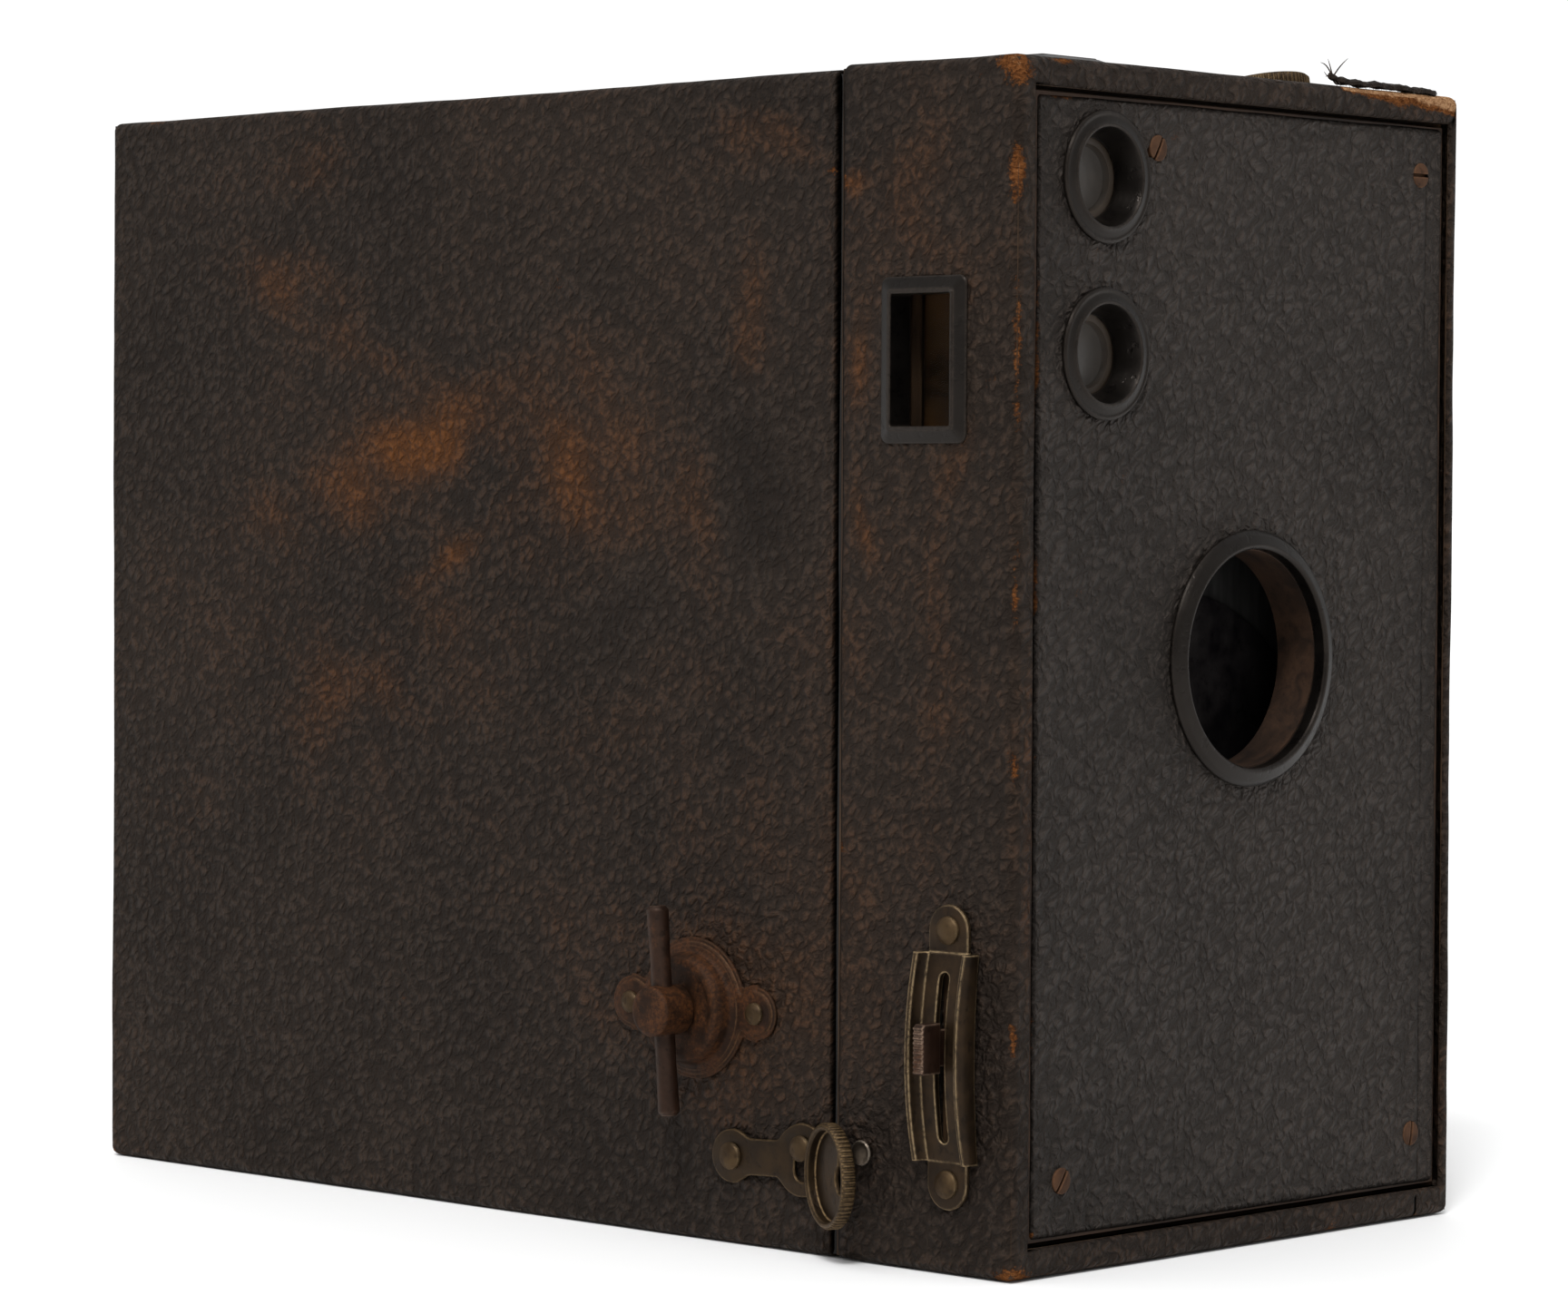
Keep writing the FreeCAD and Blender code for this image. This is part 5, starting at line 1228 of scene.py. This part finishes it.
def latch(name, facing, pivot, tilt):
    """A dog-bone spring plate with a curved slot, bent up into a knurled cup with a keyhole in its floor."""
    bone = waisted([(0, 3.05), (11.04, 4.15)], 2.05, 0.5, 0.5, 14.0)
    plate = flat(f"{name}_plate", [bone, arc_slot(11.05, 1.2, -4.2, 13.6)], 0.5, 0.13)
    ridges = 60
    cup_x, cup_y = 5.85, -0.4

    def knurl(angle, radius, height):
        if radius < 5.75 or height < 0.2:
            return 0.0
        share = (angle * ridges / (2 * math.pi)) % 1.0
        return 0.16 * (abs(2 * share - 1) * 2 - 1) - 0.1

    wall = lathe(f"{name}_wall", [
        (5.1, 0.0), (5.1, 1.5, 0.12), (5.35, 1.75, 0.12), (5.62, 1.68, 0.1), (5.85, 1.4), (5.85, 0.25),
        (5.5, 0.0, 0.1),
    ], ridges * 4, knurl)
    wall = moved(wall, Matrix.Translation(Vector((cup_x, cup_y, 0)) * MM))
    outlines = [circle(5.3, cup_x, cup_y, 72), keyhole(8.05, -0.6, 1.7, 0.8, 2.6)]
    floor = flat(f"{name}_floor", outlines, 0.5, 0.12)
    lift = Matrix.Translation((12.95 * MM, 0, 0)) @ Matrix.Rotation(math.radians(-tilt), 4, "Y")
    whole = joined(f"{name}_spring", [plate, moved(wall, lift), moved(floor, lift)])
    fit(whole, facing, pivot, f"{name}_latch", TARNISHED, f"{name}_latch")


def latches():
    found = solids("latch_rivets")
    side = [pair for pair in found if pair[0].x < REAR_LOW.x]
    top = [pair for pair in found if pair[0].x > 0]
    hindmost = (max(group, key=lambda pair: pair[0].y) for group in (side, top))
    side_at, top_at = ((low + high) / 2 for low, high in hindmost)
    side_at.x, top_at.z = REAR_LOW.x - 0.1 * MM, REAR_HIGH.z + 0.1 * MM
    latch("side", "left", side_at, 25)
    latch("top", "top", top_at, 10.5)
    both = [("left", *pair) for pair in side] + [("top", *pair) for pair in top]
    rivets("latch_rivet_heads", "rear_box", "latch_rivets", both, 0.65, 0.8, 0.85)

    made = []
    for k, (low, high) in enumerate(solids("latch_studs")):
        facing = "left" if low.x < 0 else "top"
        proud = (FRONT_LOW.x - low.x if facing == "left" else high.z - FRONT_HIGH.z) / MM
        stud = lathe(f"stud_{k}", [
            (0, -2.1), (0.7, -2.1), (0.7, proud - 0.45), (1.4, proud - 0.4, 0.1), (1.4, proud - 0.1, 0.1),
            (0.9, proud, 0.5), (0, proud),
        ], 40)
        made.append(moved(stud, seat("front_section", facing, low, high)))
    show(joined("hooking_studs", made), "front_section", NICKEL, "latch_studs")


def winding_key():
    at = (REAR_LOW.x, KEY.y, KEY.z)
    ears = [(-9.95, 3.0), (0, 8.05), (9.95, 3.0)]
    smaller = [(x, radius - 0.55) for x, radius in ears]
    lower = flat("escutcheon_rim", [waisted(ears, 2.2, 1.1), circle(5.0)], 0.42, 0.12)
    upper = flat("escutcheon_step", [waisted(smaller, 1.7, 1.1), circle(5.0)], 0.68, 0.14)
    boss = lathe("escutcheon_boss", [
        (2.35, 2.45), (2.35, 2.8, 0.1), (4.5, 2.72, 0.8), (5.2, 3.02, 0.3), (5.85, 2.92, 0.35),
        (6.25, 2.1, 0.9), (6.45, 1.0, 0.6), (7.1, 0.7, 0.3), (7.2, 0.4), (5.6, 0.4), (5.5, 2.3, 0.3),
    ], 128)
    fit(joined("key_plate", [lower, upper, boss]), "left", at, "rear_box", RUSTY, "key_escutcheon")
    node = "escutcheon_rivets"
    rivets("key_plate_rivets", "rear_box", node, spots(node, "left"), 0.62, 0.8)
    hub = lathe("hub", [
        (0, -2.9), (2.25, -2.9), (2.25, 3.2), (2.85, 3.2, 0.12), (2.92, 5.0, 3), (2.85, 7.45, 0.3),
        (2.3, 7.8, 0.3), (0, 7.86),
    ], 72)
    blade = loft("blade", [
        [Vector((x, y, z)) * MM for x, y in box_outline(-2, 2, -0.65, 0.65)] for z in (-6.2, -2.4)
    ])
    fit(joined("key_barrel", [hub, blade]), "left", at, "winding_key", RUSTY, "key_hub")
    bar = lathe("bar", [
        (0, -11.95), (0.85, -11.95, 0.1), (1.25, -11.5, 0.3), (1.16, -6, 8), (1.22, 0), (1.16, 6, 8),
        (1.28, 11.5, 0.3), (0.85, 11.95, 0.1), (0, 11.95),
    ], 40)
    lying = Matrix.Translation((0, 0, 5.3 * MM)) @ Matrix.Rotation(math.radians(-90), 4, "X")
    show(moved(bar, stand("left", at, 5) @ lying), "winding_key", KEY_METAL, "key_crossbar")
    keep(NICKEL, "key_washer")


def strap():
    low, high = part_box("carrying_strap")
    width, sheet, edge, crown = (high.x - low.x) / 2, 1.5 * MM, 0.3 * MM, 0.12 * MM
    rise = (high.z - low.z) - sheet
    length = high.y - low.y
    count = 90

    def height(y):
        """How high the strap's underside stands: flat under the keepers and bowed between them."""
        inside = min(y - low.y, high.y - y) / (20 * MM)
        share = min(1.0, max(0.0, (inside - 0.65) / 0.35))
        return low.z + rise * share * share * (3 - 2 * share)

    top = sheet - edge
    sections = []
    for k in range(count + 1):
        y = low.y + length * k / count
        from_end = min(y - low.y, high.y - y)
        wide = width * math.sqrt(1 - max(0.0, 1 - from_end / (5 * MM)) ** 2 * 0.75)
        outline = [
            (-wide + edge, 0), (wide - edge, 0), (wide, edge), (wide, top - edge), (wide - edge, top),
            (wide * 0.5, top + crown), (0, top + crown * 1.6), (-wide * 0.5, top + crown),
            (-wide + edge, top), (-wide, top - edge), (-wide, edge),
        ]
        sections.append([Vector((x, y, height(y) + up)) for x, up in outline])
    show(loft("leather_strap", sections), "rear_box", STRAP_HIDE, "carrying_strap")

    pitch, stitch, margin = 2.6 * MM, 1.7 * MM, 13 * MM
    stitches = []
    for side in (-1, 1):
        for k in range(int((length - 2 * margin) / pitch)):
            points = []
            for t in (0, 0.25, 0.5, 0.75, 1):
                y = low.y + margin + k * pitch + t * stitch
                up = 1.2 * MM + math.sin(t * math.pi) * 0.2 * MM
                points.append(Vector((side * (width - 1.6 * MM), y, height(y) + up)))
            stitches.append(tube(f"stitch_{side}_{k}", points, 0.14 * MM, (0.6, 1, 1, 1, 0.6), 2))
    show(joined("strap_stitches", stitches), "rear_box", THREAD)

    keepers = []
    for k, (box_low, box_high) in enumerate(solids("strap_keepers", 3 * MM)):
        reach, top = (box_high.x - box_low.x) / 2 / MM, 2.2
        outer = [
            (-reach, 0.02, 0.1), (-reach, 0.6, 0.15), (-7.5, 0.6, 0.3), (-7.3, top, 0.6), (7.3, top, 0.6),
            (7.5, 0.6, 0.3), (reach, 0.6, 0.15), (reach, 0.02, 0.1), (6.7, 0.02, 0.2), (6.62, 1.62, 0.3),
            (-6.62, 1.62, 0.3), (-6.7, 0.02, 0.2),
        ]
        strip = moved(flat(f"keeper_{k}", [eased(outer)], 5.0, 0.16), Matrix.Translation((0, 0, -5.0 * MM)))
        at = Matrix.Translation((0, (box_low.y + box_high.y) / 2 - 2.5 * MM, REAR_HIGH.z))
        keepers.append(moved(strip, at @ Matrix.Rotation(math.radians(90), 4, "X")))
    show(joined("strap_bridges", keepers), "rear_box", NICKEL, "strap_keepers")
    rivets("strap_rivet_heads", "rear_box", "strap_rivets", spots("strap_rivets", "top"), 0.6, 0.75)


def back_and_base():
    ring = lathe("red_rim", [
        (5.4, -2.9), (6.9, -2.9), (6.9, -0.1), (8.2, -0.1), (8.2, 0.3, 0.25), (7.7, 0.72, 0.3),
        (6.6, 0.72, 0.2), (6.2, 0.4, 0.15), (5.9, 0.1, 0.1), (5.4, -0.3, 0.3), (5.4, -0.9), (6.0, -0.9),
        (6.0, -1.9), (5.4, -1.9),
    ], 128)
    fit(ring, "back", (RED.x, REAR_HIGH.y, RED.z), "rear_box", LACQUER, "red_window_ring")
    keep(RED_GLASS, "red_window")
    thread_pitch = 1.27  # twenty turns to the inch

    def thread(angle, radius, height):
        """A screw thread cut outwards from the bore."""
        if radius > 2.6 or height > -0.35:
            return 0.0
        return 0.55 * abs(2 * ((height / thread_pitch + angle / (2 * math.pi)) % 1.0) - 1)

    wall = [(2.55, -0.4 - 4.1 * k / 36) for k in range(37)]
    rim = [(5.0, -4.5), (5.0, -0.55), (7.0, -0.55, 0.05), (7.0, -0.12, 0.15), (3.6, -0.12, 0.3)]
    profile = [(2.85, -0.12), *wall, *rim]
    for name, facing, spot in (("base", "down", (BASE_BUSH.x, BASE_BUSH.y, 0)),
                               ("side", "right", (REAR_HIGH.x, SIDE_BUSH.y, SIDE_BUSH.z))):
        bush = lathe(f"{name}_threaded_bush", profile, 64, thread)
        fit(bush, facing, spot, "rear_box", NICKEL, f"{name}_tripod_bush")


def tabbed(half, foot, neck, top, rounding):
    """The outline of a slide with a narrower tab at its top."""
    return eased([
        (-half, foot, rounding), (half, foot, rounding), (half, neck, 0.6), (3.5, neck), (3.5, top, 1.4),
        (-3.5, top, 1.4), (-3.5, neck), (-half, neck, 0.6),
    ])


def slides_and_shutter():
    low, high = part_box("stop_slide")
    foot, top = low.z / MM - LENS.z / MM, high.z / MM - LENS.z / MM
    stops = [circle(5.0), circle(3.5, 0, -13), circle(2.25, 0, -26)]
    stop = flat("stop_plate", [tabbed(7, foot, 33.0, top, 0.8), *stops], 0.6, 0.1)
    fit(stop, "front", (LENS.x, high.y, LENS.z), "stop_slide", NICKEL, "stop_slide")

    low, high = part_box("time_slide")
    time = flat("time_plate", [tabbed(5, 0, 8, (high.z - low.z) / MM, 0.6)], 0.6, 0.1)
    fit(time, "front", ((low.x + high.x) / 2, high.y, low.z), "time_slide", NICKEL, "time_slide")

    low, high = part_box("shutter_disc")
    spot = (low + high) / 2
    rest, reach = math.radians(127.5), (LENS.z - spot.z) / MM
    opening = circle(6.5, reach * math.cos(rest), reach * math.sin(rest))
    disc = flat("shutter_blade", [circle(27.5, count=120), opening, circle(1.28)], 0.5, 0.08)
    fit(disc, "front", (spot.x, high.y, spot.z), "shutter_disc", SHUTTER_BLACK, "shutter_disc")


def inner_parts():
    keep(BLACK_BOARD, "rear_shell", "shutter_board", "finder_partition")
    keep(BOARD_WOOD, "front_shell")
    keep(BORE_WOOD, "front_panel")
    keep(BLACK_CARD, "light_cone")
    keep(SHUTTER_BLACK, "lens_cell", "spool_brackets", "film_gate")
    keep(NICKEL, "lever_post", "shutter_post", "shutter_spring", "roller_axles", "spool_pins")
    keep(NICKEL, "upper_film_roller", "lower_film_roller")
    keep(TIN, "takeup_spool_flanges", "supply_spool_flanges")
    keep(SPOOL_WOOD, "takeup_spool_core", "supply_spool_core")
    keep(LENS_GLASS, "meniscus_lens")
    keep(MIRROR, "upper_finder_mirror", "lower_finder_mirror")


# ---------------------------------------------------------------- stage, light and camera

def stage():
    material, tree, plain = new_material("pale_floor")
    tint = blend(speckle(plain, 0.4, 3), (0.90, 0.90, 0.90), (0.93, 0.93, 0.93))
    surfaced(material, {"Base Color": tint, "Roughness": 0.55})
    bm = bmesh.new()
    bmesh.ops.create_grid(bm, x_segments=8, y_segments=8, size=30.0)
    floor = piece_from("floor", bm)
    floor.location.z = -0.02 * MM
    floor.data.materials.append(material)

    world = bpy.data.worlds.new("studio")
    bpy.context.scene.world = world
    world.use_nodes = True
    background = world.node_tree.nodes["Background"]
    background.inputs["Color"].default_value = (1, 1, 1, 1)
    seen = add(world.node_tree, "LightPath", "Is Camera Ray")
    wire(0.64 + seen * 0.43, background.inputs["Strength"])


def soft_sun(name, way, strength, spread):
    """A broad far-off light that shines along way; spread is its width in degrees."""
    data = bpy.data.lights.new(name, "SUN")
    data.energy = strength
    data.angle = math.radians(spread)
    light = linked(bpy.data.objects.new(name, data))
    light.rotation_euler = Vector(way).to_track_quat("-Z", "Y").to_euler()


def camera():
    """The photograph's viewpoint."""
    data = bpy.data.cameras.new("camera")
    data.sensor_width = 36
    data.lens = 118.0
    data.shift_y = 0.0038
    eye = linked(bpy.data.objects.new("camera", data))
    right, ahead = Vector((0.6876, -0.7261, 0.0056)), Vector((0.7259, 0.6871, -0.0316))
    axes = Matrix((right, right.cross(ahead), -ahead)).transposed().to_4x4()
    eye.matrix_world = Matrix.Translation((-0.4589, -0.4392, 0.0846)) @ axes
    bpy.context.scene.camera = eye


rear_covering()
front_covering()
panel_covering()
torn_strip()
front_fittings()
window_frame("side", "left", 8.7, 14.5)
window_frame("top", "top", 14.5, 8.7)
lever_plate()
shutter_lever()
latches()
winding_key()
strap()
back_and_base()
slides_and_shutter()
inner_parts()
stage()
soft_sun("overhead", (0.2, -0.1, -1.0), 0.9, 60)
soft_sun("key", (0.62, 0.42, -0.95), 2.3, 14)
camera()
bpy.context.scene.view_settings.view_transform = "Standard"
